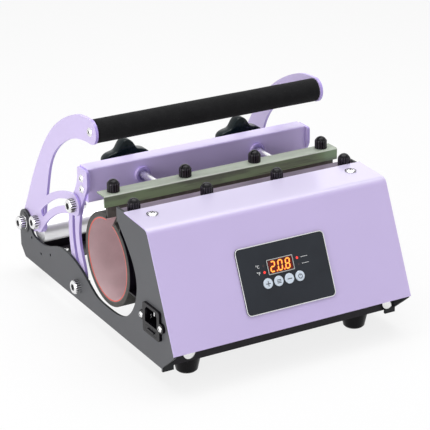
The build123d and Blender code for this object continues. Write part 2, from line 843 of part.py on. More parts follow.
def make_link():
    centre = link_centre()
    pin_deg = math.degrees(math.atan2(crank_pin[1] - centre[1], crank_pin[0] - centre[0]))
    bolt_deg = math.degrees(math.atan2(slot_bolt[1] - centre[1], slot_bolt[0] - centre[0]))
    slot_deg = pin_deg + math.degrees(link_slot_end / link_arc_r)
    outline = SlotArc(lobe_arc(centre, link_arc_r, pin_deg, bolt_deg), link_w)
    outline -= SlotArc(lobe_arc(centre, link_arc_r, slot_deg, bolt_deg), link_slot_w)
    outline -= Pos(*crank_pin) * Circle(pivot_r + fit_gap)
    return across(outline, -plate_outer, plate_t)


link = make_link()
nodes["link_left"] = link
nodes["link_right"] = mirrored(link)


# Handle: hooked arms, foam grip on its tube, and the cross tube that ties the arms
def handle_outline():
    crank_low = lobe_arc(crank_pin, crank_lobe_r, 165, 280)
    pivot_lobe = lobe_arc(handle_pivot, handle_lobe_r, 260, 395)
    tip = lobe_arc(grip_centre, grip_end_r, 90, 270)
    back_edge = offsets(handle_pivot, handle_back_edge)
    inner_edge = offsets(handle_pivot, handle_inner_edge)
    outer = Spline(pivot_lobe @ 1, *back_edge, tip @ 0, tangents=[(-0.57, 0.82), (-1, 0)])
    inner = Spline(tip @ 1, *inner_edge, crank_low @ 0, tangents=[(1, 0), (0.1, -1)])
    return make_face([outer, tip, inner, crank_low, Line(crank_low @ 1, pivot_lobe @ 0), pivot_lobe])


handle_plan = handle_outline()
handle_plan -= Pos(*handle_pivot) * Circle(pivot_r + fit_gap)
handle_plan -= Pos(*crank_pin) * Circle(pivot_r + press_gap)
handle_plan -= Pos(*grip_centre) * Circle(screw_shank)
handle_arm = across(handle_plan, -arm_outer, arm_t)
nodes["handle_arm_left"] = handle_arm
nodes["handle_arm_right"] = mirrored(handle_arm)
foam_half = arm_inner - 2 * seat_gap
nodes["grip_tube"] = across(
    Pos(*grip_centre) * (Circle(grip_tube_r) - Circle(screw_shank)), -arm_inner, 2 * arm_inner
)
nodes["foam_grip"] = across(
    Pos(*grip_centre) * (Circle(foam_r) - Circle(grip_tube_r + slip_gap)), -foam_half, 2 * foam_half
)
grip_screw = round_head(grip_centre, -arm_outer, -1, grip_screw_r, grip_screw_rise)
grip_screw += round_x(grip_centre, screw_shank - slip_gap, -arm_outer, -arm_inner + grip_screw_len)
nodes["grip_end_screws"] = group([grip_screw, mirrored(grip_screw)])
tube_place = Pos(*cross_tube)
bore_half = arm_inner - cross_tube_end
tube_bore = across(tube_place * Circle(cross_tube_r - cross_tube_wall), -bore_half, 2 * bore_half)
nodes["cross_tube"] = across(tube_place * Circle(cross_tube_r), -arm_inner, 2 * arm_inner) - tube_bore


# Pivot bolts and nuts
def through_bolt(centre, face):
    return socket_head(centre, -face, -1) + round_x(centre, pivot_r, -face, -arm_inner + clear_gap + nut_h)


nut_face = -arm_inner + clear_gap
handle_bolt = through_bolt(handle_pivot, plate_outer + washer_t)
swing_bolt = through_bolt(swing_pivot, plate_outer)
washer_ring = Pos(*handle_pivot) * (Circle(washer_r) - Circle(pivot_r + slip_gap))
washer = across(washer_ring, -plate_outer - washer_t, washer_t)
handle_nut = hex_nut(handle_pivot, nut_face, 1, pivot_r + press_gap)
swing_nut = hex_nut(swing_pivot, nut_face, 1, pivot_r + press_gap)
head_face = plate_outer + clear_gap
crank_bolt = socket_head(crank_pin, -head_face, -1) + round_x(crank_pin, pivot_r, -head_face, -arm_inner)
link_bolt = socket_head(slot_bolt, -head_face, -1)
link_bolt += round_x(slot_bolt, slot_bolt_r, -head_face, -arm_inner + nut_h)
link_nut = hex_nut(slot_bolt, -arm_inner, 1, slot_bolt_r + press_gap)
pairs = {
    "handle_pivot_bolts": [handle_bolt, washer, handle_nut],
    "swing_pivot_bolts": [swing_bolt, swing_nut],
    "crank_bolts": [crank_bolt],
    "slot_bolts": [link_bolt, link_nut],
}
for name, left in pairs.items():
    nodes[name] = group(left + [mirrored(shape) for shape in left])


# Control panel on the sloped front
button_xs = [button_first_x + button_pitch * i for i in range(4)]
hole_r = button_r + clear_gap


def panel_prism(sketch, x, up, low, high):
    return extrude(panel_frame(x, panel_up + up, low) * sketch, amount=high - low)


panel = panel_prism(RectangleRounded(panel_w, panel_h, panel_corner), 0, 0, 0, panel_t)
window_in_w = window_w - 2 * window_rim
window_in_h = window_h - 2 * window_rim
panel -= panel_prism(Rectangle(window_in_w, window_in_h), *window_at, -1, panel_t + 1)
for x in button_xs:
    panel -= panel_prism(Circle(hole_r), x, button_up, -1, panel_t + 1)
for x, up in led_places:
    panel -= panel_prism(Circle(led_r), x, up, -1, panel_t + 1)
nodes["control_panel"] = panel
rim = Rectangle(window_w, window_h) - Rectangle(window_in_w, window_in_h)
nodes["window_frame"] = panel_prism(rim, *window_at, panel_t, panel_t + 0.6)
window_top = panel_t - 2 * seat_gap
window_pane = Rectangle(window_in_w - seat_gap, window_in_h - seat_gap)
nodes["display_window"] = panel_prism(window_pane, *window_at, -window_back, window_top)
lens = Circle(led_r - slip_gap)
lens_top = panel_t + 2 * seat_gap
nodes["led_lenses"] = group(panel_prism(lens, x, up, -lens_back, lens_top) for x, up in led_places)
board_top = -board_gap
board_low = board_top - board_t
nodes["controller_board"] = panel_prism(Rectangle(board_w, board_h), 0, 0, board_low, board_top)
module = Rectangle(window_in_w + 4, window_in_h + 1)
nodes["display_module"] = panel_prism(module, *window_at, board_top, -window_back)
post_x = board_w / 2 - post_in
post_up = board_h / 2 - post_in
nodes["board_posts"] = group(
    panel_prism(Circle(post_r), sx * post_x, sy * post_up, board_top, 0) for sx in (-1, 1) for sy in (-1, 1)
)
relay = panel_prism(Rectangle(relay_size[0], relay_size[1]), *relay_at, board_low - relay_size[2], board_low)
switch_top = -button_stem_at - button_travel - 2 * seat_gap
switches = [panel_prism(Rectangle(6, 6), x, button_up, board_top, switch_top) for x in button_xs]
pegs = [panel_prism(Circle(1.0), x, up, board_top, -lens_back) for x, up in led_places]
nodes["board_components"] = group([relay, *switches, *pegs])


def make_button(x):
    cap = panel_prism(Circle(button_r), x, button_up, -button_flange_at, panel_t + button_proud)
    outward = Axis((0, 0, 0), panel_frame(0, 0, 0).z_dir)
    cap = chamfer(cap.edges().sort_by(outward)[-1], button_bevel)
    cap += panel_prism(Circle(button_r + button_flange), x, button_up, -button_flange_at, -clear_gap)
    return cap + panel_prism(Circle(button_stem_r), x, button_up, -button_stem_at, -button_flange_at)


for name, x in zip(("plus", "set", "minus", "mode"), button_xs):
    nodes["button_" + name] = make_button(x)


# Power inlet with fuse drawer on the left plate
def inlet_sketch():
    flange = RectangleRounded(inlet_body_w + 4, inlet_flange_h, 3)
    ear = SlotCenterToCenter(inlet_pitch, inlet_ear_w)
    return flange + ear


def socket_sketch():
    half_w, half_h, cut = socket_w / 2, socket_h / 2, 4.0
    points = [
        (-half_w, -half_h), (half_w, -half_h), (half_w, half_h - cut), (half_w - cut, half_h),
        (-half_w + cut, half_h), (-half_w, half_h - cut),
    ]
    return make_face(Polyline(*points, close=True))


socket_centre = (inlet_at[0], inlet_at[1] + socket_up)
drawer_centre = (inlet_at[0], inlet_at[1] - drawer_down)
inlet_face = -plate_outer - inlet_flange_t
inlet = across(Pos(*inlet_at) * inlet_sketch(), inlet_face, inlet_flange_t)
inlet += across(Pos(*inlet_at) * RectangleRounded(inlet_body_w, inlet_body_h, 2), -plate_outer, inlet_body_d)
inlet -= across(Pos(*socket_centre) * socket_sketch(), inlet_face, socket_d)
inlet -= across(Pos(*drawer_centre) * Rectangle(drawer_w, drawer_h), inlet_face, drawer_d)
for side in (-1, 1):
    hole_at = (inlet_at[0] + side * inlet_pitch / 2, inlet_at[1])
    inlet -= round_x(hole_at, screw_shank, inlet_face - 1, -plate_outer + 1)
nodes["inlet_housing"] = inlet
nodes["inlet_pins"] = group(
    across(Pos(*place) * Rectangle(*pin_size), inlet_face + pin_back, socket_d - pin_back)
    for place in offsets(socket_centre, pin_places)
)


def inlet_screw(side):
    centre = (inlet_at[0] + side * inlet_pitch / 2, inlet_at[1])
    head = round_head(centre, inlet_face, -1, inlet_screw_r, inlet_screw_rise)
    return head + round_x(centre, screw_shank - seat_gap, inlet_face, -plate_inner)


nodes["inlet_screws"] = group([inlet_screw(-1), inlet_screw(1)])
drawer_place = Pos(*drawer_centre)
drawer_front = Rectangle(drawer_w - 2 * drawer_gap, drawer_h - 2 * drawer_gap)
drawer = across(drawer_place * drawer_front, inlet_face, drawer_d - layer_gap)
pocket = Pos(0, 2) * Rectangle(drawer_w - 6, 2 * fuse_r + 4.1)
drawer -= across(drawer_place * pocket, inlet_face + fuse_at, 8)
pull = Rectangle(drawer_pull[0], drawer_pull[1])
drawer += across(drawer_place * pull, inlet_face - drawer_pull[2], drawer_pull[2])
nodes["fuse_drawer"] = drawer
fuse_x = inlet_face + fuse_at + fuse_r + seat_gap
fuse_half = drawer_w / 2 - 3 - 2 * seat_gap
fuse_plane = Plane(
    origin=(fuse_x, front + drawer_centre[0] - fuse_half, drawer_centre[1]), z_dir=(0, 1, 0)
)
nodes["fuse"] = extrude(fuse_plane * Circle(fuse_r), amount=2 * fuse_half)

# Rocker switch on the right plate
switch_place = Pos(*switch_at)
bezel = across(switch_place * RectangleRounded(bezel_w, bezel_h, 1.5), plate_outer, bezel_t)
bezel += across(switch_place * Rectangle(bezel_w - 2, bezel_h - 2), plate_outer - switch_d, switch_d)
well = Rectangle(rocker_w + 2 * rocker_gap, 2 * rocker_half + 6 * rocker_gap)
bezel -= across(switch_place * well, plate_outer - switch_well, switch_well + bezel_t)
nodes["switch_housing"] = bezel
rocker_x = plate_outer - rocker_in
rocker_y = front + switch_at[0]
side_plane = Plane(
    origin=(rocker_x, rocker_y + rocker_w / 2, switch_at[1]), x_dir=(1, 0, 0), z_dir=(0, -1, 0)
)
rocker_side = Rot(0, 0, rocker_tilt) * make_face(Polyline(*rocker_profile, close=True))
rocker = extrude(side_plane * rocker_side, amount=rocker_w, dir=(0, -1, 0))
axle_half = rocker_w / 2 + axle_past
axle_plane = Plane(origin=(rocker_x, rocker_y - axle_half, switch_at[1]), z_dir=(0, 1, 0))
rocker += extrude(axle_plane * Circle(axle_r), amount=2 * axle_half)
nodes["power_rocker"] = rocker

for name, shape in nodes.items():
    export_step(shape, "parts/" + name + ".step")
print(len(nodes), "nodes")
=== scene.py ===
import json
import math
import random
import bmesh
import bpy
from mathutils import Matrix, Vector


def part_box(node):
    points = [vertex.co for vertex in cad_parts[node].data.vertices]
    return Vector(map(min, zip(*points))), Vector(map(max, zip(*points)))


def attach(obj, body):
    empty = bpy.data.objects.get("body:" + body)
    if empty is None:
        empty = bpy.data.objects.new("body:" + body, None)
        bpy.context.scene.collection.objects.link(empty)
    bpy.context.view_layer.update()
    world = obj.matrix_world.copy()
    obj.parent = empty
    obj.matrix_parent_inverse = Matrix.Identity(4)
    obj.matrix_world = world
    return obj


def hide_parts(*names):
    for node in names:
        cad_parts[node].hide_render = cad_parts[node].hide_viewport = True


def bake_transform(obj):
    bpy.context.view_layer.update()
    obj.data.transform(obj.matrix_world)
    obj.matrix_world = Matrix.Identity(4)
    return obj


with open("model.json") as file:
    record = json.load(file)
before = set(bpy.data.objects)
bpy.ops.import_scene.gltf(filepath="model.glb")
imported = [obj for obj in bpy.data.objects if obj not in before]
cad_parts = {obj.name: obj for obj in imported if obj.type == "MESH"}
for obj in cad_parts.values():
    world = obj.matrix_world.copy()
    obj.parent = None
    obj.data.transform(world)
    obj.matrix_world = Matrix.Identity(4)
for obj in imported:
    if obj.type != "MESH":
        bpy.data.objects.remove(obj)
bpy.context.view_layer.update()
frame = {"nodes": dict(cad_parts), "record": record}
print("press frame loaded, pieces:", len(frame["nodes"]))

mm = 0.001
rightward, rearward, upward = Vector((1, 0, 0)), Vector((0, 1, 0)), Vector((0, 0, 1))
sides = {-1: "left", 1: "right"}


def middle(node):
    low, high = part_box(node)
    return (low + high) / 2


# how far a frame piece reaches along a direction, from a start point
def reach(node, direction, start):
    return max((vertex.co - start).dot(direction) for vertex in frame["nodes"][node].data.vertices)


# a plane through a point: places across, up and out in mm, along three directions
def planeAt(point, across, up, out):
    return lambda a, b, c: point + (across * a + up * b + out * c) * mm


# wraps a node socket, so that shader maths reads as an expression
class Value:
    def __init__(self, tree, socket):
        self.tree = tree
        self.socket = socket

    def maths(self, operation, *others):
        values = dict(enumerate((self,) + others))
        return self.tree.add("ShaderNodeMath", {"operation": operation}, values)

    def __add__(self, other):
        return self.maths("ADD", other)

    __radd__ = __add__

    def __mul__(self, other):
        return self.maths("MULTIPLY", other)

    __rmul__ = __mul__

    def __sub__(self, other):
        return self.maths("SUBTRACT", other)

    def __rsub__(self, other):
        return self.tree.add("ShaderNodeMath", {"operation": "SUBTRACT"}, {0: other, 1: self})


# the node tree of a material or of the world
class Tree:
    def __init__(self, nodeTree):
        self.nodes = nodeTree.nodes
        self.links = nodeTree.links

    def add(self, kind, settings=None, sockets=None, output=0):
        node = self.nodes.new(kind)
        for key, value in (settings or {}).items():
            setattr(node, key, value)
        for key, value in (sockets or {}).items():
            self.put(node.inputs[key], value)
        return Value(self, node.outputs[output])

    # links a value to a socket, or sets a number, a vector or a colour of three parts on it
    def put(self, socket, value):
        if isinstance(value, Value):
            self.links.new(value.socket, socket)
        elif socket.type == "RGBA":
            socket.default_value = (*value, 1)
        else:
            socket.default_value = value

    def split(self, vector):
        parts = self.add("ShaderNodeSeparateXYZ", None, {0: vector})
        return [Value(self, end) for end in parts.socket.node.outputs]

    def between(self, value, low, high, start=0.0, end=1.0):
        ends = {"Value": value, "From Min": low, "From Max": high, "To Min": start, "To Max": end}
        return self.add("ShaderNodeMapRange", None, ends)

    # 1 for rays from the camera, mirrors and glass, which see a white room
    def seenRays(self):
        camera, glossy, clear = [
            self.add("ShaderNodeLightPath", output=kind)
            for kind in ("Is Camera Ray", "Is Glossy Ray", "Is Transmission Ray")
        ]
        rays = {0: camera + glossy, 1: clear}
        return self.add("ShaderNodeMath", {"operation": "ADD", "use_clamp": True}, rays)


finishes = {}


# a material; fixed values go on the shader's own sockets, named with underscores for spaces
class Finish(Tree):
    def __init__(self, name, **fixed):
        self.material = bpy.data.materials.new(name)
        self.material.use_nodes = True
        super().__init__(self.material.node_tree)
        self.shader = self.nodes["Principled BSDF"]
        self.at = self.add("ShaderNodeTexCoord", output="Object")
        for socket, value in fixed.items():
            self.shader.inputs[socket.replace("_", " ")].default_value = value
        finishes[name] = self.material

    def feed(self, socket, value):
        self.put(self.shader.inputs[socket], value)

    def stretched(self, x, y, z):
        return self.add("ShaderNodeMapping", None, {"Vector": self.at, "Scale": (x, y, z)})

    def noise(self, scale, detail=3.0, rough=0.55, vector=None):
        ends = {"Vector": vector or self.at, "Scale": scale, "Detail": detail, "Roughness": rough}
        return self.add("ShaderNodeTexNoise", None, ends)

    # soft patches: noise between two levels
    def patch(self, low, high, *noise):
        return self.between(self.noise(*noise), low, high)

    def cells(self, scale, feature="F1"):
        return self.add("ShaderNodeTexVoronoi", {"feature": feature}, {"Vector": self.at, "Scale": scale})

    def mixed(self, share, first, second):
        return self.add("ShaderNodeMix", {"data_type": "RGBA"}, {0: share, 6: first, 7: second}, 2)

    def bump(self, height, strength, distance):
        ends = {"Height": height, "Strength": strength, "Distance": distance}
        self.feed("Normal", self.add("ShaderNodeBump", None, ends))

    # distance from an axis along x through a point
    def fromAxis(self, point):
        arm = self.add("ShaderNodeVectorMath", {"operation": "SUBTRACT"}, {0: self.at, 1: point})
        flat = self.add("ShaderNodeVectorMath", {"operation": "MULTIPLY"}, {0: arm, 1: (0, 1, 1)})
        return self.add("ShaderNodeVectorMath", {"operation": "LENGTH"}, {0: flat}, "Value")

    # how much the surface faces along x, y and z
    def facing(self):
        return self.split(self.add("ShaderNodeTexCoord", output="Normal"))


def shade(colour, factor):
    return tuple(channel * factor for channel in colour)


# powder coat: cloudy tone, fine orange peel, dust near the table, painted shade on the cut edges, a painted
# sheen on the tops
def powderCoat(name, look):
    coat = Finish(name, Coat_Roughness=0.18, Specular_IOR_Level=look["specular"])
    x, y, height = coat.split(coat.at)
    facingSide, _, facingUp = coat.facing()
    cloud = coat.patch(0.35, 0.65, 9, 2)
    fine = coat.noise(look["grain"], 2)
    specks = coat.between(coat.cells(620), 0.0, 0.12, 1.0, 0.0)
    dust = coat.between(height, 0.0, 0.05, 1.0, 0.0) * coat.patch(0.45, 0.75, 60, 4)
    skyward = coat.between(facingUp, 0.55, 0.98)
    darker, lighter = [shade(look["colour"], 1 + drift) for drift in (-look["drift"], look["drift"])]
    paint = coat.mixed(specks * 0.06, coat.mixed(cloud, darker, lighter), shade(look["colour"], 0.75))
    # painted shade: faces that don't face along x, the sheets' cut edges, are mixed towards a dark colour
    if "edge" in look:
        paintedEdgeShade = coat.between(facingSide.maths("ABSOLUTE"), 0.35, 0.75, look["edge"], 0.0)
        paint = coat.mixed(paintedEdgeShade, paint, look["edgeShadeColour"])
    # painted sheen: faces turned upwards are mixed towards a paler colour
    if "paintedSheen" in look:
        paint = coat.mixed(skyward * look["paintedSheen"], paint, coatTones["sky"])
    # painted shade: the low front tabs, folded inwards, take the dark edge shade colour
    if "tab" in look:  # the low front tabs, folded inwards
        limits = zip((x.maths("ABSOLUTE"), y, height), look["tab"])
        inX, inY, inZ = [coat.between(part, limit - 0.1 * mm, limit, 1.0, 0.0) for part, limit in limits]
        paint = coat.mixed(inX * inY * inZ, paint, look["edgeShadeColour"])
    coat.feed("Base Color", coat.mixed(dust * look["dust"], paint, coatTones["dust"]))
    coat.feed("Roughness", look["rough"] + cloud * 0.05 + fine * 0.06 + dust * 0.2)
    coat.feed("Coat Weight", (look["coat"] - dust * look["coat"] * 0.5) * (0.35 + skyward * 0.65))
    coat.bump(fine + specks * 0.15, look["bump"], 0.0002)


# sky is the colour of the painted sheen on tops; dust is real dust
coatTones = {"sky": (0.66, 0.66, 0.72), "dust": (0.42, 0.40, 0.38)}
tabShadeLimits = (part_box("side_plate_right")[1].x - 0.1 * mm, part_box("front_screws")[0].y + 7 * mm, 50 * mm)
# in these looks the edge share and its colour paint shade on cut edges
coatLooks = {
    # the lilac coats' sheen share paints a paler sheen on their tops
    "lilacCoat": {"colour": (0.595, 0.500, 0.80), "drift": 0.012, "grain": 900, "rough": 0.28,
        "coat": 0.55, "bump": 0.04, "dust": 0.03, "specular": 0.36, "paintedSheen": 0.45},
    # the channel's coat is a brighter copy of the lilac coat: painted light on its shaded front face
    "lilacChannelPaintedLight": {"colour": (0.68, 0.56, 0.95), "drift": 0.012, "grain": 900, "rough": 0.32,
        "coat": 0.30, "bump": 0.04, "dust": 0.0, "specular": 0.20, "paintedSheen": 0.35},
    "lilacPlate": {"colour": (0.610, 0.515, 0.81), "drift": 0.012, "grain": 900, "rough": 0.28,
        "coat": 0.55, "bump": 0.04, "dust": 0.0, "specular": 0.45,
        "edge": 0.70, "edgeShadeColour": (0.36, 0.26, 0.72)},
    "greyCoat": {"colour": (0.099, 0.101, 0.109), "drift": 0.05, "grain": 700, "rough": 0.46,
        "coat": 0.04, "bump": 0.10, "dust": 0.06, "specular": 0.22,
        "edge": 0.92, "edgeShadeColour": (0.010, 0.012, 0.014), "tab": tabShadeLimits},
    "blackCoat": {"colour": (0.0065, 0.0045, 0.0085), "drift": 0.08, "grain": 700, "rough": 0.30,
        "coat": 0.10, "bump": 0.08, "dust": 0.04, "specular": 0.22},
}
for name, look in coatLooks.items():
    powderCoat(name, look)


# bare metal: drawn lines, blotches of stain and a few nicks
def bareMetal(name, look):
    metal = Finish(name, Metallic=look["metallic"])
    lines = metal.noise(look["lines"], 4, 0.6, metal.stretched(*look["stretch"]))
    blotch = metal.patch(0.4, 0.7, 55, 3)
    nicks = metal.between(metal.cells(300, "DISTANCE_TO_EDGE"), 0.0, 0.012, 1.0, 0.0)
    nicks = nicks * metal.patch(0.58, 0.68, 24, 2)
    colour = metal.mixed(blotch * 0.5, look["colour"], look["stain"])
    metal.feed("Base Color", metal.mixed(nicks * 0.25, colour, shade(look["stain"], 0.6)))
    metal.feed("Roughness", look["rough"] + lines * look["lineRough"] + blotch * 0.05)
    metal.bump(lines + nicks * 0.4, look["bump"], 0.0001)


# values in the order of the keys
metalKeys = ("colour", "stain", "rough", "metallic", "lineRough", "bump", "lines", "stretch")
metalLooks = {
    "polishedChrome": ((0.97, 0.97, 0.975), (0.9, 0.9, 0.91), 0.26, 0.55, 0.1, 0.02, 260, (0.04, 1, 1)),
    "zincSteel": ((0.9, 0.9, 0.91), (0.7, 0.69, 0.68), 0.14, 1.0, 0.14, 0.08, 900, (1, 1, 1)),
    "turnedRod": ((0.9, 0.9, 0.91), (0.76, 0.75, 0.76), 0.14, 0.9, 0.14, 0.06, 900, (0.2, 3, 0.2)),
    # the next look is painted shade for the grooves of the knurled rims
    "knurlValley": ((0.05, 0.05, 0.055), (0.11, 0.11, 0.115), 0.45, 0.3, 0.15, 0.06, 900, (1, 1, 1)),
}
for name, row in metalLooks.items():
    bareMetal(name, dict(zip(metalKeys, row)))


# zinc inside a radius round the handle's pivot, dark oiled washers outside it
def pivotSteel():
    look = {"zinc": (0.90, 0.90, 0.91), "stain": (0.70, 0.69, 0.68), "washer": (0.035, 0.036, 0.040),
            "oil": (0.075, 0.076, 0.080), "radius": 7.9 * mm}
    steel = Finish("pivotSteel")
    outwards = steel.fromAxis(middle("handle_pivot_bolts"))
    inside = steel.between(outwards, look["radius"], look["radius"] + 0.1 * mm, 1.0, 0.0)
    blotch = steel.patch(0.4, 0.7, 55, 3)
    lines = steel.noise(900, 4, 0.6)
    zinc = steel.mixed(blotch * 0.5, look["zinc"], look["stain"])
    steel.feed("Base Color", steel.mixed(inside, steel.mixed(blotch, look["washer"], look["oil"]), zinc))
    steel.feed("Metallic", 0.2 + inside * 0.8)
    steel.feed("Roughness", 0.34 - inside * 0.2 + lines * 0.14)
    steel.bump(lines, 0.08, 0.0001)


# greenish passivated zinc on the rear clamp angle, with darker lengthwise streaks; the top flange is made
# paler by a painted sheen, and the front corner carries a painted highlight
def clampZinc():
    low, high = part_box("clamp_angle")
    # the top and corner colours paint a sheen on the top flange and a highlight along the front corner
    look = {"front": (0.155, 0.235, 0.130), "darkerStreak": (0.080, 0.095, 0.078), "top": (0.43, 0.465, 0.40),
            "corner": (0.80, 0.84, 0.78), "cornerWidth": 0.9 * mm, "topStart": 0.4 * mm}
    corner, topStart = look["cornerWidth"], look["topStart"]
    zinc = Finish("clampZinc", Coat_Roughness=0.08, Specular_IOR_Level=0.4, Metallic=0.15)
    _, y, z = zinc.split(zinc.at)
    drawn = zinc.noise(420, 4, 0.6, zinc.stretched(0.03, 1, 1))
    streaks = zinc.patch(0.46, 0.66, 60, 4, 0.6, zinc.stretched(0.22, 1, 1.6))
    body = zinc.mixed(streaks * 0.85, look["front"], look["darkerStreak"])
    atTop = zinc.between(z, high.z - topStart, high.z - topStart / 2)
    cornerHighlightFront = zinc.between(y, low.y, low.y + corner, 1.0, 0.0)
    cornerHighlightTop = zinc.between(z, high.z - 2 * corner, high.z - corner)
    # painted sheen: the top flange is mixed towards a paler colour
    toned = zinc.mixed(atTop * (0.85 - streaks * 0.2), body, look["top"])
    # painted highlight along the front top corner
    zinc.feed("Base Color", zinc.mixed(cornerHighlightFront * cornerHighlightTop * 0.8, toned, look["corner"]))
    zinc.feed("Roughness", 0.22 + drawn * 0.16 + atTop * 0.25)
    zinc.feed("Coat Weight", (0.55 - streaks * 0.25) * (1 - atTop * 0.9))
    zinc.bump(drawn, 0.05, 0.0001)


pivotSteel()
clampZinc()


# moulded plastics and rubber: flow marks, fine grain and scuffs
def moulded(name, look):
    plastic = Finish(name, Specular_IOR_Level=look["specular"], Coat_Roughness=0.10)
    grain = plastic.noise(look["grain"], 3, 0.6)
    flow = plastic.patch(0.35, 0.7, 18, 2)
    scuffs = plastic.patch(0.60, 0.72, 140, 5, 0.7, plastic.stretched(1, 0.25, 1))
    tone = plastic.mixed(flow, look["colour"], shade(look["colour"], look["drift"]))
    plastic.feed("Base Color", plastic.mixed(scuffs * look["scuff"], tone, look["scuffColour"]))
    plastic.feed("Roughness", look["rough"] + grain * 0.08 + scuffs * 0.12)
    if "coat" in look:
        plastic.feed("Coat Weight", look["coat"] - scuffs * look["coat"] * 0.5)
    plastic.bump(grain - scuffs * 0.2, look["bump"], 0.0002)


# values in the order of the keys; a row without the last one has no clear coat
plasticKeys = ("colour", "drift", "grain", "rough", "specular", "scuff", "scuffColour", "bump", "coat")
plasticLooks = {
    "blackNylon": ((0.0035, 0.003, 0.0045), 1.6, 1200, 0.12, 0.15, 0.08, (0.05, 0.05, 0.05), 0.05, 0.1),
    "knobNylon": ((0.002, 0.0058, 0.007), 1.7, 800, 0.16, 0.13, 0.06, (0.03, 0.045, 0.048), 0.06, 0.08),
    "footRubber": ((0.004, 0.0035, 0.0045), 1.5, 900, 0.2, 0.1, 0.12, (0.05, 0.048, 0.046), 0.05, 0.05),
    "buttonCap": ((0.66, 0.74, 0.84), 0.96, 900, 0.22, 0.5, 0.1, (0.45, 0.48, 0.52), 0.04),
    "silverTrim": ((0.5, 0.5, 0.49), 0.92, 700, 0.3, 0.5, 0.15, (0.25, 0.26, 0.27), 0.05),
    "trimEdge": ((0.022, 0.025, 0.03), 0.9, 700, 0.35, 0.3, 0.1, (0.05, 0.05, 0.06), 0.05),
    "chipBlack": ((0.014, 0.014, 0.015), 1.4, 900, 0.45, 0.5, 0.2, (0.08, 0.08, 0.08), 0.1),
    # the next look paints a highlight on the cap nuts' ribs
    "capRib": ((0.026, 0.02, 0.03), 1.3, 900, 0.22, 0.3, 0.2, (0.1, 0.1, 0.11), 0.03, 0.1),
    # the next look serves the white print and the film's painted rim highlight
    "whitePrintAndHighlight": ((0.92, 0.93, 0.94), 0.95, 900, 0.45, 0.5, 0.1, (0.45, 0.46, 0.48), 0.02),
    "markGrey": ((0.045, 0.055, 0.075), 0.9, 900, 0.45, 0.5, 0.1, (0.12, 0.13, 0.16), 0.02),
    # the next look is painted shade, for recesses, grooves and gaps
    "recessDark": ((0.004, 0.004, 0.005), 1.3, 900, 0.55, 0.15, 0.2, (0.12, 0.12, 0.12), 0.05),
}
for name, row in plasticLooks.items():
    moulded(name, dict(zip(plasticKeys, row)))


# the panel's printed film, with a little haze and finger smears
def overlayFilm():
    look = {"colour": (0.0125, 0.0155, 0.0225), "haze": (0.0165, 0.0205, 0.0285)}
    film = Finish("overlayFilm", Coat_Roughness=0.08, Specular_IOR_Level=0.25)
    haze = film.patch(0.35, 0.7, 30, 3)
    grain = film.noise(1500, 2)
    smear = film.patch(0.55, 0.75, 70, 4, 0.6, film.stretched(1, 1, 0.3))
    film.feed("Base Color", film.mixed(haze, look["colour"], look["haze"]))
    film.feed("Roughness", 0.26 + grain * 0.05 + smear * 0.08)
    film.feed("Coat Weight", 0.08 - smear * 0.05)
    film.bump(grain, 0.02, 0.0001)


def displayFilter():
    look = {"colour": (0.110, 0.005, 0.004), "haze": (0.190, 0.010, 0.006)}
    tint = Finish("displayFilter", Specular_IOR_Level=0.3)
    haze = tint.patch(0.35, 0.7, 60, 2)
    grain = tint.noise(900, 2)
    tint.feed("Base Color", tint.mixed(haze, look["colour"], look["haze"]))
    tint.feed("Roughness", 0.16 + grain * 0.08)
    tint.bump(grain, 0.02, 0.0001)


def glowing(name, colour, strength):
    lit = Finish(name, Emission_Strength=strength, Roughness=0.35)
    flicker = lit.patch(0.3, 0.7, 500, 2)
    lit.feed("Base Color", lit.mixed(flicker, shade(colour, 0.5), shade(colour, 0.6)))
    lit.feed("Emission Color", lit.mixed(flicker, shade(colour, 0.92), colour))
    lit.bump(lit.noise(900, 2), 0.02, 0.0001)


# the four indicator lenses: only the upper right and the lower left are lit
def lensRed():
    look = {"lit": (1.0, 0.045, 0.035), "dim": (0.045, 0.030, 0.034), "off": (0.0, 0.0, 0.0)}
    lens = Finish("lensRed", Emission_Strength=0.9, Roughness=0.25, Specular_IOR_Level=0.4)
    centre = middle("led_lenses")
    x, _, z = lens.split(lens.at)
    litOnes = lens.between((x - centre.x) * (z - centre.z) * 1e6, -0.1, 0.1)
    swirl = lens.patch(0.3, 0.7, 700, 2)
    bright = lens.mixed(swirl, shade(look["lit"], 0.75), look["lit"])
    lens.feed("Base Color", lens.mixed(litOnes, look["dim"], bright))
    lens.feed("Emission Color", lens.mixed(litOnes, look["off"], bright))
    lens.bump(lens.noise(900, 2), 0.03, 0.0001)


def circuitBoard():
    look = {"track": (0.02, 0.16, 0.06), "mask": (0.01, 0.09, 0.035), "pad": (0.55, 0.52, 0.45)}
    board = Finish("circuitBoard", Coat_Weight=0.25)
    tracks = board.between(board.cells(260, "DISTANCE_TO_EDGE"), 0.02, 0.05)
    pads = board.between(board.cells(180), 0.10, 0.14, 1.0, 0.0)
    printed = board.mixed(tracks, look["track"], look["mask"])
    board.feed("Base Color", board.mixed(pads * 0.8, printed, look["pad"]))
    board.feed("Metallic", pads * 0.7)
    board.feed("Roughness", 0.32 + board.noise(400, 2) * 0.1)
    board.bump(pads + tracks * 0.2, 0.2, 0.0002)


def fuseGlass():
    look = {"colour": (0.80, 0.88, 0.86), "clear": (0.90, 0.94, 0.93)}
    glass = Finish("fuseGlass", Transmission_Weight=0.9, IOR=1.45)
    glass.feed("Base Color", glass.mixed(glass.noise(40), look["colour"], look["clear"]))
    glass.feed("Roughness", 0.05 + glass.noise(300, 3) * 0.06)
    glass.bump(glass.noise(500, 2), 0.02, 0.0001)


overlayFilm()
displayFilter()
glowing("digitCore", (1.0, 0.56, 0.075), 1.0)
glowing("digitHalo", (0.85, 0.060, 0.012), 0.85)
lensRed()
circuitBoard()
fuseGlass()

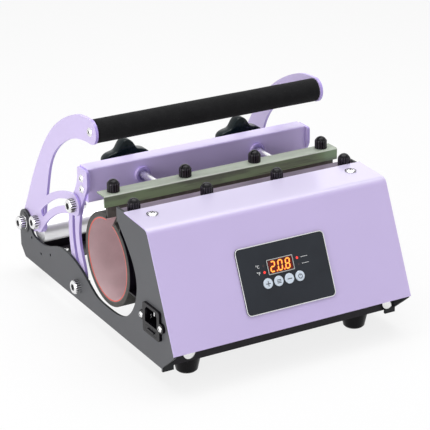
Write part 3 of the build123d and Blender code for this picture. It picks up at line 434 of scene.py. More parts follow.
# the heating band: axis, bore and width from the frame's clamp mount, layers from the solids
clampMount = [mount for mount in frame["record"]["mounts"] if mount["kind"] == "clamp"][0]
bandAxis = Vector(clampMount["pos_m"])
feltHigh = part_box("insulation_felt")[1]
matLow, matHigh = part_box("heating_mat")
stripLow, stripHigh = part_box("front_clamp_strip")
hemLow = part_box("mat_rear_hem")[0]
band = {
    "half": clampMount["dims"]["length_mm"] / 2 * mm, "matIn": clampMount["dims"]["r_mm"] * mm,
    "matOut": bandAxis.z - matLow.z, "feltOut": feltHigh.y - bandAxis.y, "layerGap": 0.05 * mm,
    "rearEnd": 90.5, "frontEnd": 112.0, "split": 268.0,  # degrees round the axis, from the rear and up
    "matShort": 3, "riserSweep": 0.3, "stepAngle": 3, "fewestSteps": 6, "across": 48,
    "redRim": 0.95 * mm, "redReach": 0.45 * mm, "feltLumps": 0.12 * mm, "waves": 9,
    "bendBack": 40 * mm, "bendLow": 35 * mm, "bendHigh": 48 * mm,
}


def heatedSilicone():
    look = {"colour": (0.720, 0.535, 0.560), "drift": (0.620, 0.450, 0.475), "print": (0.70, 0.56, 0.57),
            "end": (0.12, 0.105, 0.10), "rim": (0.78, 0.075, 0.040)}
    mat = Finish("heatedSilicone", Specular_IOR_Level=0.5)
    x, _, _ = mat.split(mat.at)
    radius = mat.fromAxis(bandAxis)
    half, rim = band["half"], band["matIn"] + band["redRim"]
    nearEnd = mat.between(x.maths("ABSOLUTE"), half - band["redReach"], half - band["redReach"] * 0.8)
    redRim = nearEnd * mat.between(radius, rim, rim + 0.1 * mm, 1.0, 0.0)
    outside = mat.between(radius, rim, rim + 0.1 * mm)
    drift = mat.patch(0.35, 0.68, 26, 4, 0.6)
    weave = mat.noise(650, 2, 0.5, mat.stretched(1, 0.7, 0.7))
    prints = mat.patch(0.56, 0.72, 48, 5, 0.65, mat.stretched(0.35, 1, 1))
    pressed = mat.mixed(prints * 0.35, mat.mixed(drift, look["colour"], look["drift"]), look["print"])
    skin = mat.mixed(outside * nearEnd, pressed, look["end"])
    mat.feed("Base Color", mat.mixed(redRim, skin, look["rim"]))
    mat.feed("Roughness", 0.36 + drift * 0.08 - prints * 0.06)
    mat.bump(weave + drift * 0.5, 0.10, 0.0004)


# the silicone tail under the front strip: a darker copy of the silicone as painted shade, with rubbed marks
# lengthwise
def shadedRubbedSilicone():
    look = {"colour": (0.085, 0.062, 0.095), "rubbed": (0.200, 0.152, 0.215), "patch": (0.105, 0.080, 0.125)}
    tail = Finish("shadedRubbedSilicone", Specular_IOR_Level=0.35)
    rubs = tail.patch(0.40, 0.68, 160, 4, 0.6, tail.stretched(0.05, 1, 1))
    patches = tail.patch(0.4, 0.65, 22, 3)
    tone = tail.mixed(rubs, look["colour"], look["rubbed"])
    tail.feed("Base Color", tail.mixed(patches * 0.4, tone, look["patch"]))
    tail.feed("Roughness", 0.42 + rubs * 0.10)
    tail.bump(rubs + tail.noise(600, 2) * 0.4, 0.15, 0.0003)


def needledFelt():
    look = {"colour": (0.062, 0.059, 0.055), "clump": (0.092, 0.087, 0.080), "lint": (0.20, 0.19, 0.17)}
    felt = Finish("needledFelt", Specular_IOR_Level=0.15, Sheen_Weight=0.12, Sheen_Roughness=0.5)
    fibres = felt.noise(1100, 5, 0.75, felt.stretched(0.5, 1, 1.6))
    clumps = felt.patch(0.35, 0.70, 130, 4, 0.65)
    lint = felt.between(felt.cells(700), 0.0, 0.16, 1.0, 0.0)
    tone = felt.mixed(clumps, look["colour"], look["clump"])
    felt.feed("Base Color", felt.mixed(lint * 0.3, tone, look["lint"]))
    felt.feed("Roughness", 0.88 + fibres * 0.08)
    felt.bump(fibres + clumps * 0.6, 0.5, 0.0006)


def gripFoam():
    look = {"colour": (0.0055, 0.0055, 0.0062), "worn": (0.0090, 0.0090, 0.0098), "lint": (0.05, 0.05, 0.05)}
    foam = Finish("gripFoam", Specular_IOR_Level=0.10, Sheen_Weight=0.04, Sheen_Roughness=0.6)
    pores = foam.between(foam.cells(1500), 0.0, 0.5)
    soft = foam.patch(0.35, 0.7, 85, 4, 0.6)
    lint = foam.patch(0.66, 0.72, 900, 2)
    tone = foam.mixed(soft, look["colour"], look["worn"])
    foam.feed("Base Color", foam.mixed(lint * 0.4, tone, look["lint"]))
    foam.feed("Roughness", 0.74 + pores * 0.12)
    foam.bump(pores + soft * 0.8, 0.35, 0.0005)


heatedSilicone()
shadedRubbedSilicone()
needledFelt()
gripFoam()
print("finishes made:", len(finishes))

# the finish of each of the frame's own pieces, named with spaces between
nodeFinish = {
    "lilacCoat": "front_cover",
    "lilacChannelPaintedLight": "pressure_channel",
    "lilacPlate": "rod_bushes handle_arm_left handle_arm_right link_left link_right swing_arm_left "
        "swing_arm_right",
    "greyCoat": "side_plate_left side_plate_right cover_brackets",
    "blackCoat": "base_tray rear_tray heater_cradle",
    "zincSteel": "cover_top_screws foot_screws front_screws front_studs rear_studs board_posts inlet_pins "
        "inlet_screws swing_pivot_bolts grip_tube grip_end_screws crank_bolts channel_screws slot_bolts",
    "pivotSteel": "handle_pivot_bolts",
    "polishedChrome": "cross_tube",
    "turnedRod": "pressure_rod_left pressure_rod_right",
    "clampZinc": "clamp_angle",
    "blackNylon": "front_cap_nuts rear_cap_nuts inlet_housing switch_housing power_rocker fuse_drawer",
    "knobNylon": "star_knob_left star_knob_right",
    "footRubber": "rubber_feet",
    "buttonCap": "button_plus button_set button_minus button_mode",
    "trimEdge": "window_frame",
    "chipBlack": "display_module board_components",
    "overlayFilm": "control_panel",
    "displayFilter": "display_window",
    "lensRed": "led_lenses",
    "circuitBoard": "controller_board",
    "fuseGlass": "fuse",
    "heatedSilicone": "heating_mat",
    "shadedRubbedSilicone": "front_clamp_strip",
    "needledFelt": "insulation_felt mat_rear_hem",
    "gripFoam": "foam_grip",
}
for finish, dressed in nodeFinish.items():
    for node in dressed.split():
        mesh = frame["nodes"][node].data
        mesh.materials.clear()
        mesh.materials.append(finishes[finish])


# a mesh piece; picks gives each face its place in the finishes, which are named with spaces between
def makePiece(name, points, faces, finish, body, smooth=False, picks=None):
    mesh = bpy.data.meshes.new(name)
    mesh.from_pydata([tuple(point) for point in points], [], faces)
    for wanted in finish.split():
        mesh.materials.append(finishes[wanted])
    if picks:
        mesh.polygons.foreach_set("material_index", picks)
    shape = bmesh.new()
    shape.from_mesh(mesh)
    bmesh.ops.remove_doubles(shape, verts=shape.verts, dist=1e-7)
    bmesh.ops.recalc_face_normals(shape, faces=shape.faces)
    shape.to_mesh(mesh)
    shape.free()
    piece = bpy.data.objects.new(name, mesh)
    bpy.context.scene.collection.objects.link(piece)
    if smooth:
        mesh.shade_smooth()
    if body:
        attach(piece, body)
    return piece


# faces between rows of points round a form; a closed one joins its last row to its first
def joinRows(rows, around, closed=True, first=0):
    faces = []
    for row in range(rows if closed else rows - 1):
        a, b = first + row * around, first + (row + 1) % rows * around
        for i in range(around):
            j = (i + 1) % around
            faces.append([a + i, a + j, b + j, b + i])
    return faces


# adds a closed outline, raised between two heights over a plane
def raiseOutline(points, faces, outline, plane, low, high):
    first, count = len(points), len(outline)
    for height in (low, high):
        points += [plane(x, up, height) for x, up in outline]
    faces.append([first + i for i in range(count)][::-1])
    faces.append([first + count + i for i in range(count)])
    faces += joinRows(2, count, closed=False, first=first)


def raisedMarks(name, outlines, plane, low, high, finish, body):
    points, faces = [], []
    for outline in outlines:
        raiseOutline(points, faces, outline, plane, low, high)
    return makePiece(name, points, faces, finish, body)


def barOutline(x, up, width, height):
    return [(x + a * width / 2, up + b * height / 2) for a, b in ((-1, -1), (1, -1), (1, 1), (-1, 1))]


# part of a flat ring as short pieces, so that each outline stays simple
def arcOutlines(x, up, radius, width, start=0.0, sweep=360.0, pieces=20):
    outlines = []
    for i in range(pieces):
        turns = [math.radians(start + sweep * (i + k) / pieces) for k in (0, 1)]
        inner, outer = [
            [(x + edge * math.cos(turn), up + edge * math.sin(turn)) for turn in turns]
            for edge in (radius - width / 2, radius + width / 2)
        ]
        outlines.append([inner[0], outer[0], outer[1], inner[1]])
    return outlines


# a flat ring along a rectangle with round corners, each turned in steps
def roundedRing(centre, halfX, halfUp, corner, width, steps=6):
    def edge(inset):
        line = []
        for right, up, start in ((1, 1, 0), (-1, 1, 90), (-1, -1, 180), (1, -1, 270)):
            for k in range(steps + 1):
                turn = math.radians(start + 90 / steps * k)
                line.append((centre[0] + right * (halfX - corner) + (corner - inset) * math.cos(turn),
                             centre[1] + up * (halfUp - corner) + (corner - inset) * math.sin(turn)))
        return line
    outer, inner = edge(0), edge(width)
    count = len(outer)
    return [[outer[i], outer[(i + 1) % count], inner[(i + 1) % count], inner[i]] for i in range(count)]


# adds a ribbed ring round an axis, from rows of (radius, height, groove depth) joined in a closed loop
def ribbedRing(points, faces, picks, centre, axis, rows, ribs):
    side = axis.orthogonal().normalized()
    other = axis.cross(side)
    first, around = len(points), ribs * 4  # two points on each rib and two in the groove beside it
    grooved = [i % 4 in (2, 3) for i in range(around)]
    for radius, height, groove in rows:
        for i in range(around):
            turn = 2 * math.pi * i / around
            arm = radius - (groove if grooved[i] else 0.0)
            spoke = (side * math.cos(turn) + other * math.sin(turn)) * arm
            points.append(centre + (spoke + axis * height) * mm)
    faces += joinRows(len(rows), around, first=first)
    # the grooves take the second finish, which paints shade in them
    picks += [int(sunk) for sunk in grooved] * len(rows)


# the control panel's own plane, centred on the film; lengths are in mm
panel = {
    "slope": 65.6, "thick": 1.2, "corner": 5.0, "rimHighlightWidth": 0.8, "rimHighlightInset": 0.05,
    "print": 0.04, "sunk": 0.02,  # how far a print stands above its surface and reaches below it
    "reading": "208", "digitHigh": 10.0, "digitWide": 4.5, "digitStep": 8.7, "lean": 0.09,
    "digitLine": 1.0, "haloLine": 2.1, "segmentGap": 0.2, "dotAt": (4.35, -4.9), "glowThick": 0.05,
    "trimWidth": 0.75, "trimInset": 0.25, "trimCorner": 0.8,
    "degreeX": -29.4, "degreeUps": {"C": 12.3, "F": 5.6},
    "labelX": 24.4, "labelWide": 8.0, "labelHigh": 0.4, "labelUps": (12.5, 5.9),
}
panelLow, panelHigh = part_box("control_panel")
panelUp = Vector((0, math.cos(math.radians(panel["slope"])), math.sin(math.radians(panel["slope"]))))
panelOut = Vector((0, -panelUp.z, panelUp.y))
panelOrigin = middle("control_panel") - panelOut * panel["thick"] / 2 * mm
onPanel = planeAt(panelOrigin, rightward, panelUp, panelOut)


# a frame piece's middle in the panel's plane, and how far it stands out, in mm
def panelSpot(node):
    away = (middle(node) - panelOrigin) / mm
    return away.x, away.dot(panelUp), reach(node, panelOut, panelOrigin) / mm


# a thin print on a surface that stands out from the panel's plane
def panelPrint(name, outlines, out, finish, body):
    raisedMarks(name, outlines, onPanel, out - panel["sunk"], out + panel["print"], finish, body)


segmentsLit = {"0": "abcdef", "2": "abdeg", "8": "abcdefg"}


# seven-segment digits, each segment a pointed bar
def digitOutlines(centreX, centreUp, thick):
    high, wide, text = panel["digitHigh"], panel["digitWide"], panel["reading"]
    spots = {"a": (0, high / 2, True), "g": (0, 0, True), "d": (0, -high / 2, True),
             "f": (-wide / 2, high / 4, False), "b": (wide / 2, high / 4, False),
             "e": (-wide / 2, -high / 4, False), "c": (wide / 2, -high / 4, False)}
    half = thick / 2
    outlines = []
    for i, digit in enumerate(text):
        x = centreX + (i - (len(text) - 1) / 2) * panel["digitStep"]
        for key in segmentsLit[digit]:
            right, rise, flat = spots[key]
            run = (wide if flat else high / 2) / 2 - panel["segmentGap"]
            ends = [(-run, 0), (half - run, half), (run - half, half)]
            ends += [(-a, -b) for a, b in ends]
            placed = [(a, b) if flat else (-b, a) for a, b in ends]
            outlines.append([(x + right + a + panel["lean"] * (rise + b), centreUp + rise + b)
                             for a, b in placed])
        if i < len(text) - 1:
            outlines.append(barOutline(x + panel["dotAt"][0], centreUp + panel["dotAt"][1], thick, thick))
    return outlines


# strokes in mm from a sign's middle: bars as x, up, width and height; arcs as x, up, radius, width,
# start and sweep in degrees, and pieces
signStrokes = {
    "plus": {"bars": [(0, 0, 5.2, 0.9), (0, 1.55, 0.9, 2.2), (0, -1.55, 0.9, 2.2)]},
    "set": {"bars": [(0, 1.5, 4.6, 0.75), (0, 0, 4.6, 0.75), (0, -1.5, 4.6, 0.75)]},
    "minus": {"bars": [(0, 0, 5.2, 0.9)]},
    "mode": {"arcs": [(0, 0, 2.2, 0.75, 110, 320, 16)], "bars": [(0, 1.6, 0.75, 2.2)]},
    "C": {"arcs": [(-2.2, 1.2, 0.5, 0.3, 0, 360, 10), (0.3, 0, 1.35, 0.42, 50, 260, 10)]},
    "F": {"arcs": [(-2.2, 1.2, 0.5, 0.3, 0, 360, 10)],
          "bars": [(-0.6, 0, 0.45, 3.1), (0.3, 1.33, 1.5, 0.44), (0.15, 0.1, 1.2, 0.44)]},
}


def signOutlines(sign, x, up):
    outlines = []
    for right, rise, *form in signStrokes[sign].get("arcs", []):
        outlines += arcOutlines(x + right, up + rise, *form)
    for right, rise, *form in signStrokes[sign].get("bars", []):
        outlines.append(barOutline(x + right, up + rise, *form))
    return outlines


def displayReading():
    x, up, glass = panelSpot("display_window")
    layers = [("digitHalo", panel["haloLine"]), ("digitCore", panel["digitLine"])]
    for layer, (finish, thick) in enumerate(layers):
        low, high = [glass + step * panel["glowThick"] for step in (layer, layer + 1)]
        raisedMarks("reading_" + finish, digitOutlines(x, up, thick), onPanel, low, high,
                    finish, "frame")


# the film's pale rim, a painted highlight along its edge, then the degree signs on the left and a bar beside
# each lens on the right
def filmPrints():
    halfX = panelHigh.x / mm - panel["rimHighlightInset"]
    slopedHigh = ((panelHigh.z - panelLow.z) / mm - panel["thick"] * panelUp.y) / panelUp.z
    halfUp = slopedHigh / 2 - panel["rimHighlightInset"]
    prints = roundedRing((0, 0), halfX, halfUp, panel["corner"], panel["rimHighlightWidth"])
    for letter, up in panel["degreeUps"].items():
        prints += signOutlines(letter, panel["degreeX"], up)
    for up in panel["labelUps"]:
        prints.append(barOutline(panel["labelX"], up, panel["labelWide"], panel["labelHigh"]))
    panelPrint("panelPrint", prints, panelSpot("control_panel")[2], "whitePrintAndHighlight", "frame")


# the pale line round the window, inside the frame's dark rim
def windowLine():
    x, up, out = panelSpot("window_frame")
    low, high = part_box("window_frame")
    slopedHigh = sum(reach("window_frame", way, panelOrigin) for way in (panelUp, -panelUp))
    halfX, halfUp = [size / 2 / mm - panel["trimInset"] for size in (high.x - low.x, slopedHigh)]
    line = roundedRing((x, up), halfX, halfUp, panel["trimCorner"], panel["trimWidth"])
    panelPrint("windowLine", line, out, "silverTrim", "frame")


def buttonSigns():
    for kind in ("plus", "set", "minus", "mode"):
        x, up, out = panelSpot("button_" + kind)
        sign = signOutlines(kind, x, up)
        panelPrint(kind + "Sign", sign, out, "markGrey", kind + "_button")


displayReading()
filmPrints()
windowLine()
buttonSigns()
print("panel prints made")

# knurled rims on the heads of the pivot bolts, with painted shade in their grooves, and sockets darkened with
# painted shade, in mm
boltHeads = {
    "ribs": 18, "proud": 0.45, "seat": 0.04, "sunk": 0.3, "bevel": 0.5,
    "headLong": 7.5, "rimStart": 0.3, "rimEnd": 6.2,
    "socket": 3.9, "socketFloor": 1.0, "socketTop": 0.7,
    "riders": {"handle_pivot_bolts": "frame", "crank_bolts": "handle", "slot_bolts": "swing_frame",
               "swing_pivot_bolts": "frame"},
}


def knurledRims():
    look = boltHeads
    low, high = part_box("swing_pivot_bolts")
    seat = (high.z - low.z) / 2 / mm + look["seat"]
    rim, inner, bevel = seat + look["proud"], seat - look["sunk"], look["bevel"]
    start, end = look["rimStart"], look["rimEnd"]
    rows = [(inner, start, 0), (rim - bevel, start, 0), (rim, start + bevel, look["proud"]),
            (rim, end - bevel, look["proud"]), (rim - bevel, end, 0), (inner, end, 0)]
    for node, body in look["riders"].items():
        points, faces, picks = [], [], []
        spot, headStart = middle(node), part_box(node)[1].x - look["headLong"] * mm
        for side in sides:
            centre = Vector((side * headStart, spot.y, spot.z))
            ribbedRing(points, faces, picks, centre, rightward * side, rows, look["ribs"])
        makePiece("knurl_" + node, points, faces, "zincSteel knurlValley", body, picks=picks)


# a dark hexagon just inside each bolt's socket: painted shade for the socket's depth
def paintSocketShade():
    look = boltHeads
    turns = [math.radians(60 * k) for k in range(6)]
    outline = [(look["socket"] * math.cos(turn), look["socket"] * math.sin(turn)) for turn in turns]
    for node, body in look["riders"].items():
        spot, face = middle(node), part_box(node)[1].x
        for side, word in sides.items():
            plane = planeAt(Vector((side * face, spot.y, spot.z)), rearward, upward, rightward * -side)
            raisedMarks("socket_" + node + "_" + word, [outline], plane, look["socketFloor"],
                        look["socketTop"], "recessDark", body)


# moulded ribs round the cap nuts, in mm, fading out towards the dome
capRibs = {
    "ribs": 15, "proud": 0.35, "groove": 0.75, "foot": 0.05, "straight": 8.2, "fade": 1.4,
    "footSunk": 0.4, "shoulder": 0.3, "topSunk": 0.35, "perBar": 4,
    "riders": {"front_cap_nuts": "frame", "rear_cap_nuts": "clamp_bar"},
}


def ribbedCaps():
    look, groove, top = capRibs, capRibs["groove"], capRibs["straight"]
    for node, body in look["riders"].items():
        low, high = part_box(node)
        radius = (high.y - low.y) / 2 / mm
        rim = radius + look["proud"]
        rows = [(radius - look["footSunk"], look["foot"], 0), (rim, look["foot"], groove), (rim, top, groove),
                (rim - look["shoulder"], top + look["fade"] / 2, groove),
                (radius - look["topSunk"], top + look["fade"], 0)]
        points, faces, picks = [], [], []
        reachX = high.x - radius * mm
        for i in range(look["perBar"]):
            x = reachX * (2 * i / (look["perBar"] - 1) - 1)
            centre = Vector((x, (low.y + high.y) / 2, low.z))
            ribbedRing(points, faces, picks, centre, upward, rows, look["ribs"])
        # the ribs' faces take a painted highlight, and the grooves painted shade
        makePiece("ribs_" + node, points, faces, "capRib recessDark", body, picks=picks)


knurledRims()
paintSocketShade()
ribbedCaps()
print("knurls and ribs made")

# cross recesses in mm: an arm's length, its width at the middle, and how far it stands out
screwLooks = {
    "cover": {"arm": 2.6, "width": 1.0, "rise": 0.03},
    "inlet": {"arm": 1.7, "width": 0.7, "rise": 0.04},
    "channel": {"arm": 2.2, "width": 0.9, "rise": 0.04},
    "grip": {"arm": 2.6, "width": 1.0, "rise": 0.04},
    "foot": {"arm": 2.2, "width": 0.9, "rise": 0.04, "head": 4.5, "rearInset": 5.0},
}
crossForm = {"taper": 0.6, "deep": 0.6}


# dark crosses of painted shade for the recesses on the faces of a frame piece's screw heads, each found from
# a spot on its axis
def crossRecess(node, spots, axis, body, look):
    points, faces = [], []
    side = axis.orthogonal().normalized()
    other = axis.cross(side)
    half, arm = look["width"] / 2, look["arm"]
    tip = half * crossForm["taper"]
    outline = [(half, half), (arm, tip), (arm, -tip), (half, -half), (tip, -arm), (-tip, -arm),
               (-half, -half), (-arm, -tip), (-arm, tip), (-half, half), (-tip, arm), (tip, arm)]
    for spot in spots:
        face = spot + axis * (reach(node, axis, spot) + look["rise"] * mm)
        raiseOutline(points, faces, outline, planeAt(face, side, other, axis), -crossForm["deep"], 0.0)
    name = "cross_" + node + ("_left" if axis.x < 0 else "")
    makePiece(name, points, faces, "recessDark", body)


# the same screw heads on both sides of the machine, at heights from their middle
def sideCrosses(node, heights, body, look):
    centre = middle(node)
    for side in sides:
        spots = [Vector((0, centre.y, centre.z)) + upward * height for height in heights]
        crossRecess(node, spots, rightward * side, body, look)


def screwCrosses():
    low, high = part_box("cover_top_screws")
    reachX = high.x - (high.y - low.y) / 2
    spots = [Vector((side * reachX, (low.y + high.y) / 2, 0)) for side in sides]
    crossRecess("cover_top_screws", spots, upward, "frame", screwLooks["cover"])
    low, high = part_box("inlet_screws")
    edge = (high.z - low.z) / 2
    spots = [Vector((0, y, (low.z + high.z) / 2)) for y in (low.y + edge, high.y - edge)]
    crossRecess("inlet_screws", spots, -rightward, "frame", screwLooks["inlet"])
    low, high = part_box("channel_screws")
    edge = (high.z - low.z) / 2 - (high.y - low.y) / 2
    sideCrosses("channel_screws", (-edge, edge), "swing_frame", screwLooks["channel"])
    sideCrosses("grip_end_screws", (0,), "handle", screwLooks["grip"])
    low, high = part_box("foot_screws")
    look = screwLooks["foot"]
    head, inset = look["head"] * mm, look["rearInset"] * mm
    corners = ((high.x - head, low.y + head), (high.x - head - inset, high.y - head))
    spots = [Vector((side * x, y, 0)) for side in sides for x, y in corners]
    crossRecess("foot_screws", spots, upward, "frame", look)


# a dark ring round each screw head on the cover, painted shadow in the gap, in mm
screwRing = {"gap": 0.3, "width": 0.7, "pieces": 28, "sunk": 0.02, "high": 0.06}


def screwRings():
    look = screwRing
    low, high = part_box("cover_top_screws")
    radius = (high.y - low.y) / 2 / mm
    ring = arcOutlines(0, 0, radius + look["gap"], look["width"], pieces=look["pieces"])
    for side, word in sides.items():
        centre = Vector((side * (high.x - radius * mm), (low.y + high.y) / 2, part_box("front_cover")[1].z))
        plane = planeAt(centre, rightward, rearward, upward)
        raisedMarks("screwRing_" + word, ring, plane, -look["sunk"], look["high"], "recessDark",
                    "frame")


# a small black socket screw in the left front tab, in mm
cornerScrew = {"x": -129.5, "proud": 3.5, "radius": 3.6, "long": 2.2, "bevel": 0.5, "socket": 1.7,
               "deep": 1.2, "centre": 0.01, "around": 24}


def tabScrew():
    look, around = cornerScrew, cornerScrew["around"]
    height = middle("front_screws").z
    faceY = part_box("base_tray")[0].y - look["proud"] * mm
    socketFloor = look["long"] - look["deep"]
    rows = [(look["radius"], 0.0), (look["radius"], look["long"] - look["bevel"]),
            (look["radius"] - look["bevel"], look["long"]), (look["socket"], look["long"]),
            (look["socket"], socketFloor), (look["centre"], socketFloor)]
    plane = planeAt(Vector((look["x"] * mm, faceY, height)), rightward, upward, -rearward)
    turns = [2 * math.pi * i / around for i in range(around)]
    points = [plane(radius * math.cos(turn), radius * math.sin(turn), out)
              for radius, out in rows for turn in turns]
    faces = joinRows(len(rows), around, closed=False) + [list(range(around))]
    makePiece("tabScrew", points, faces, "blackNylon", "frame")


screwCrosses()
screwRings()
tabScrew()
print("screws made")

# star knobs in mm: five broad lobes, a rounded rim, a hub towards the channel and a dished back
starKnob = {
    "lobes": 5, "mid": 24.1, "swing": 3.7, "crease": 0.55, "around": 120,
    "bore": 4.3, "hub": 9.0, "hubLong": 6.0, "hubBevel": 0.4,
    # the rim as insets and heights, the dish as radii and heights
    "rim": [(1.4, 0.0), (0.4, 0.4), (0.0, 1.2), (0.0, 11.4), (0.5, 12.5), (1.6, 13.0), (8.0, 13.0)],
    "dish": [(9.5, 12.9), (8.2, 12.0), (0.01, 12.0)],
}


def makeKnobs():
    look, around = starKnob, starKnob["around"]
    hub, long, bevel = look["hub"], look["hubLong"], look["hubBevel"]
    rows = [(look["bore"], 0, 0.0), (look["bore"], 0, -long), (hub - bevel, 0, -long),
            (hub, 0, bevel - long), (hub, 0, 0.0)]
    rows += [(look["mid"] - inset, look["swing"], out) for inset, out in look["rim"]]
    rows += [(radius, 0, out) for radius, out in look["dish"]]
    faces = joinRows(len(rows), around, closed=False) + [list(range(around))]
    for side in ("left", "right"):
        low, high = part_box("star_knob_" + side)
        height = high.z - (look["mid"] + look["swing"]) * mm
        centre = Vector(((low.x + high.x) / 2, low.y + long * mm, height))
        points = []
        for radius, swing, out in rows:
            for i in range(around):
                turn = 2 * math.pi * i / around
                arm = radius + swing * math.sin(look["lobes"] * turn)
                spoke = rightward * math.cos(turn) + upward * math.sin(turn)
                points.append(centre + spoke * arm * mm + rearward * out * mm)
        knob = makePiece("starKnob_" + side, points, faces, "knobNylon", side + "_pressure_screw",
                         smooth=True)
        knob.data.set_sharp_from_angle(angle=look["crease"])
        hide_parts("star_knob_" + side)


makeKnobs()
print("star knobs made")


# soft lumps between -1 and 1: the mean of a few waves along x and round the axis
def lump(waves, x, turn):
    return sum(math.sin(rate * x + order * turn + phase) for rate, order, phase in waves) / len(waves)


# foam sleeve on the grip in mm, with soft lumps and pinched ends
foamGrip = {
    "rings": 150, "around": 56, "bore": 9.6, "slack": 0.10, "swell": 0.16, "waves": 14, "grit": 0.03,
    "pinch": 1.6, "pinchPull": 0.35, "seed": 11, "fill": 0.9,
}


def makeFoam():
    look, around, rings = foamGrip, foamGrip["around"], foamGrip["rings"]
    random.seed(look["seed"])
    low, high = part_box("foam_grip")
    half, radius = high.x / mm, (high.z - low.z) / 2 / mm - look["slack"]
    centre = middle("foam_grip")
    turns = [2 * math.pi * k / around for k in range(around)]
    waves = []
    for _ in range(look["waves"]):
        rate, phase, order = random.uniform(0.02, 0.16), random.uniform(0, 6.28), random.randint(0, 4)
        waves.append((rate, order, phase))

    def spot(x, arm, turn):
        return centre + Vector((x, arm * math.cos(turn), arm * math.sin(turn))) * mm

    points = []
    for i in range(rings + 1):
        x = -half + 2 * half * i / rings
        inPinch = max(0.0, look["pinch"] - (half - abs(x)))
        pinched = inPinch ** 2 * look["pinchPull"]
        for turn in turns:
            grit = random.uniform(-look["grit"], look["grit"])
            points.append(spot(x, radius + look["swell"] * lump(waves, x, turn) + grit - pinched, turn))
    for x in (half, -half):  # the bore's two ends
        points += [spot(x, look["bore"], turn) for turn in turns]
    faces = joinRows(rings + 3, around)  # outside, one end, the bore, the other end
    foam = makePiece("foamSleeve", points, faces, "gripFoam", "handle", smooth=True)
    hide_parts("foam_grip")


makeFoam()
print("foam grip made")

layerKinds = {
    "felt": {"between": (band["matOut"] + band["layerGap"], band["feltOut"]), "lumps": band["feltLumps"],
             "finish": "needledFelt", "slot": "felt"},
    "mat": {"between": (band["matIn"], band["matOut"]), "lumps": 0.0,
            "finish": "heatedSilicone", "slot": "silicone"},
    "riser": {"between": (band["matOut"], band["feltOut"]), "lumps": 0.0,
              "finish": "needledFelt", "slot": "felt"},
}


# a layer of the band, swept round the ring and on along its tail, a list of stations with a point (y, z)
# on the layer's inner and one on its outer face
def bandLayer(name, kind, startAngle, endAngle, tail, seed):
    look, across = layerKinds[kind], band["across"]
    inner, outer = look["between"]
    random.seed(seed)
    waves = [(random.uniform(8, 60), random.uniform(1.5, 7), random.uniform(0, 6.28))
             for _ in range(band["waves"])]
    sweep = endAngle - startAngle
    steps = max(band["fewestSteps"], int(abs(sweep) / band["stepAngle"]))
    turns = [math.radians(startAngle + sweep * i / steps) for i in range(steps + 1)]
    xs = [band["half"] * (2 * k / across - 1) for k in range(across + 1)]
    points, faces = [], []
    for turn in turns:
        for x in xs:
            for radius in (inner, outer + look["lumps"] * lump(waves, x, turn)):
                y, z = bandAxis.y + radius * math.cos(turn), bandAxis.z + radius * math.sin(turn)
                points.append(Vector((x, y, z)))
    for station in tail:
        points += [Vector((x, y, z)) for x in xs for y, z in station]
    width, last = 2 * (across + 1), len(turns + tail) - 1
    for row in range(last):
        for k in range(across + 1):
            a, b = row * width + 2 * k, (row + 1) * width + 2 * k
            if k < across:
                faces += [[a, b, b + 2, a + 2], [a + 1, a + 3, b + 3, b + 1]]
            if k in (0, across):
                faces.append([a, a + 1, b + 1, b])
    for row in (0, last):
        faces += [[row * width + 2 * k + step for step in (0, 2, 3, 1)] for k in range(across)]
    return makePiece(name, points, faces, look["finish"], None)


# the stations' corners in mm as (rearward, upward), on the inner and the outer face
bandTails = {
    "felt": [((0.4, -0.2), (-3.8, -4.8)), ((0.2, -0.1), (0.2, -4.9))],
    "mat": [((-0.4, 0.0), (0.6, 0.0)), ((0.2, -0.05), (0.2, 0.05))],
    "riser": [((4.5, -12.6), (0.1, -12.6)), ((4.5, -0.4), (0.1, -0.4))],
}


def tailStations(kind, ys, innerZ, outerZ):
    return [[(y + rear * mm, z + rise * mm) for (rear, rise), z in zip(corners, (innerZ, outerZ))]
            for y, corners in zip(ys, bandTails[kind])]


# the tails run from the ring's ends to the front strip and up to the rear hem
def makeBand():
    split, front, rear = band["split"], band["frontEnd"], 360 + band["rearEnd"]
    strip, hem = (stripHigh.y, stripLow.y), (hemLow.y, hemLow.y)
    feltTail = tailStations("felt", strip, feltHigh.z, feltHigh.z)
    matTail = tailStations("mat", strip, matHigh.z, feltHigh.z)
    riserTail = tailStations("riser", hem, hemLow.z, hemLow.z)
    layers = {
        "frontFelt": ("felt", split, front, feltTail, 3),
        "frontMat": ("mat", split, front - band["matShort"], matTail, 0),
        "rearFelt": ("felt", split, rear, [], 5),
        "rearMat": ("mat", split, rear, [], 0),
        "rearRiser": ("riser", rear - band["riserSweep"], rear, riserTail, 0),
    }
    pieces = {name: bandLayer(name, *layer) for name, layer in layers.items()}
    for name in ("frontFelt", "frontMat"):
        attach(pieces[name], "frame")
    # the rear half is hung on no body: a bend between the ring's foot and its top is worked out, but nothing
    # uses it
    bendY = bandAxis.y + band["bendBack"]
    bendStart = Vector((0, bendY, bandAxis.z - band["bendLow"]))
    bendEnd = Vector((0, bendY, bandAxis.z + band["bendHigh"]))
    for name in ("rearFelt", "rearMat", "rearRiser"):
        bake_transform(pieces[name])
    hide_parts("insulation_felt")
    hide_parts("heating_mat")


makeBand()
print("heating band made")

# the pale room: seen rays meet an even white, and the floor keeps a faint shadow
room = {"floorHalf": 9.0, "tone": 0.95, "white": 0.975, "evened": 0.84, "worldLight": 0.35}


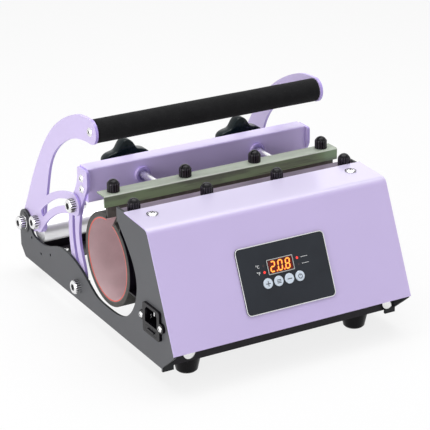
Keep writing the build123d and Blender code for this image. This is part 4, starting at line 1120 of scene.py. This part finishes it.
def paleRoom():
    floor = Finish("paleFloor", Specular_IOR_Level=0.1)
    grain = floor.patch(0.3, 0.7, 3, 2)
    tone, white = (room["tone"],) * 3, (room["white"],) * 3
    floor.feed("Base Color", floor.mixed(grain, tone, shade(tone, 1.01)))
    floor.feed("Roughness", 0.65 + floor.noise(500, 2) * 0.05)
    even = floor.add("ShaderNodeEmission", None, {"Color": white, "Strength": 1.0})
    shaded = Value(floor, floor.shader.outputs[0])
    share = floor.seenRays() * room["evened"]
    surface = floor.add("ShaderNodeMixShader", None, {0: share, 1: shaded, 2: even})
    floor.put(floor.nodes["Material Output"].inputs["Surface"], surface)
    half = room["floorHalf"]
    corners = [(-half, -half, 0), (half, -half, 0), (half, half, 0), (-half, half, 0)]
    mesh = bpy.data.meshes.new("floor")
    mesh.from_pydata(corners, [], [[0, 1, 2, 3]])
    mesh.materials.append(floor.material)
    table = bpy.data.objects.new("floor", mesh)
    bpy.context.scene.collection.objects.link(table)
    world = bpy.data.worlds.new("room")
    bpy.context.scene.world = world
    world.use_nodes = True
    sky = Tree(world.node_tree)
    background = sky.nodes["Background"]
    strength = sky.between(sky.seenRays(), 0, 1, room["worldLight"], room["white"])
    sky.put(background.inputs["Color"], (1, 1, 1))
    sky.put(background.inputs["Strength"], strength)


lampAim = Vector((0, 0, 0.1))
lamps = {
    "overhead": {"at": (0.1, 0.13, 1.5), "size": (1.6, 1.2), "power": 20},
    "leftFront": {"at": (-1.7, -0.5, 0.5), "size": (0.9, 0.8), "power": 12.5},
    "sideStrip": {"at": (1.55, -1.3, 0.45), "size": (0.2, 0.8), "power": 2},
    "spark": {"at": (-0.5, -1.0, 1.9), "size": (0.22, 0.22), "power": 2.6},
    "rearBox": {"at": (1.45, 2.35, 1.2), "size": (2.6, 1.5), "power": 7},
}


def hangLamps():
    for name, look in lamps.items():
        light = bpy.data.lights.new(name, "AREA")
        light.shape = "RECTANGLE"
        light.size, light.size_y = look["size"]
        light.energy = look["power"]
        lamp = bpy.data.objects.new(name, light)
        bpy.context.scene.collection.objects.link(lamp)
        lamp.location = look["at"]
        lamp.rotation_mode = "QUATERNION"
        lamp.rotation_quaternion = (lampAim - Vector(look["at"])).to_track_quat("-Z", "Y")


# the photograph's camera: lens and sensor in mm, its place in metres and its turn in degrees
shot = {"lens": 150.82, "sensor": 36, "near": 0.05, "far": 60,
        "at": (-0.87425, -1.56768, 0.82498), "turn": (67.982, 0.527, -29.653)}


def placeCamera():
    camera = bpy.data.cameras.new("shotCamera")
    camera.lens, camera.sensor_width = shot["lens"], shot["sensor"]
    camera.clip_start, camera.clip_end = shot["near"], shot["far"]
    eye = bpy.data.objects.new("shotCamera", camera)
    bpy.context.scene.collection.objects.link(eye)
    eye.location = shot["at"]
    eye.rotation_euler = [math.radians(angle) for angle in shot["turn"]]
    bpy.context.scene.camera = eye
    bpy.context.scene.view_settings.view_transform = "Standard"


paleRoom()
hangLamps()
placeCamera()
print("floor, light and camera made")
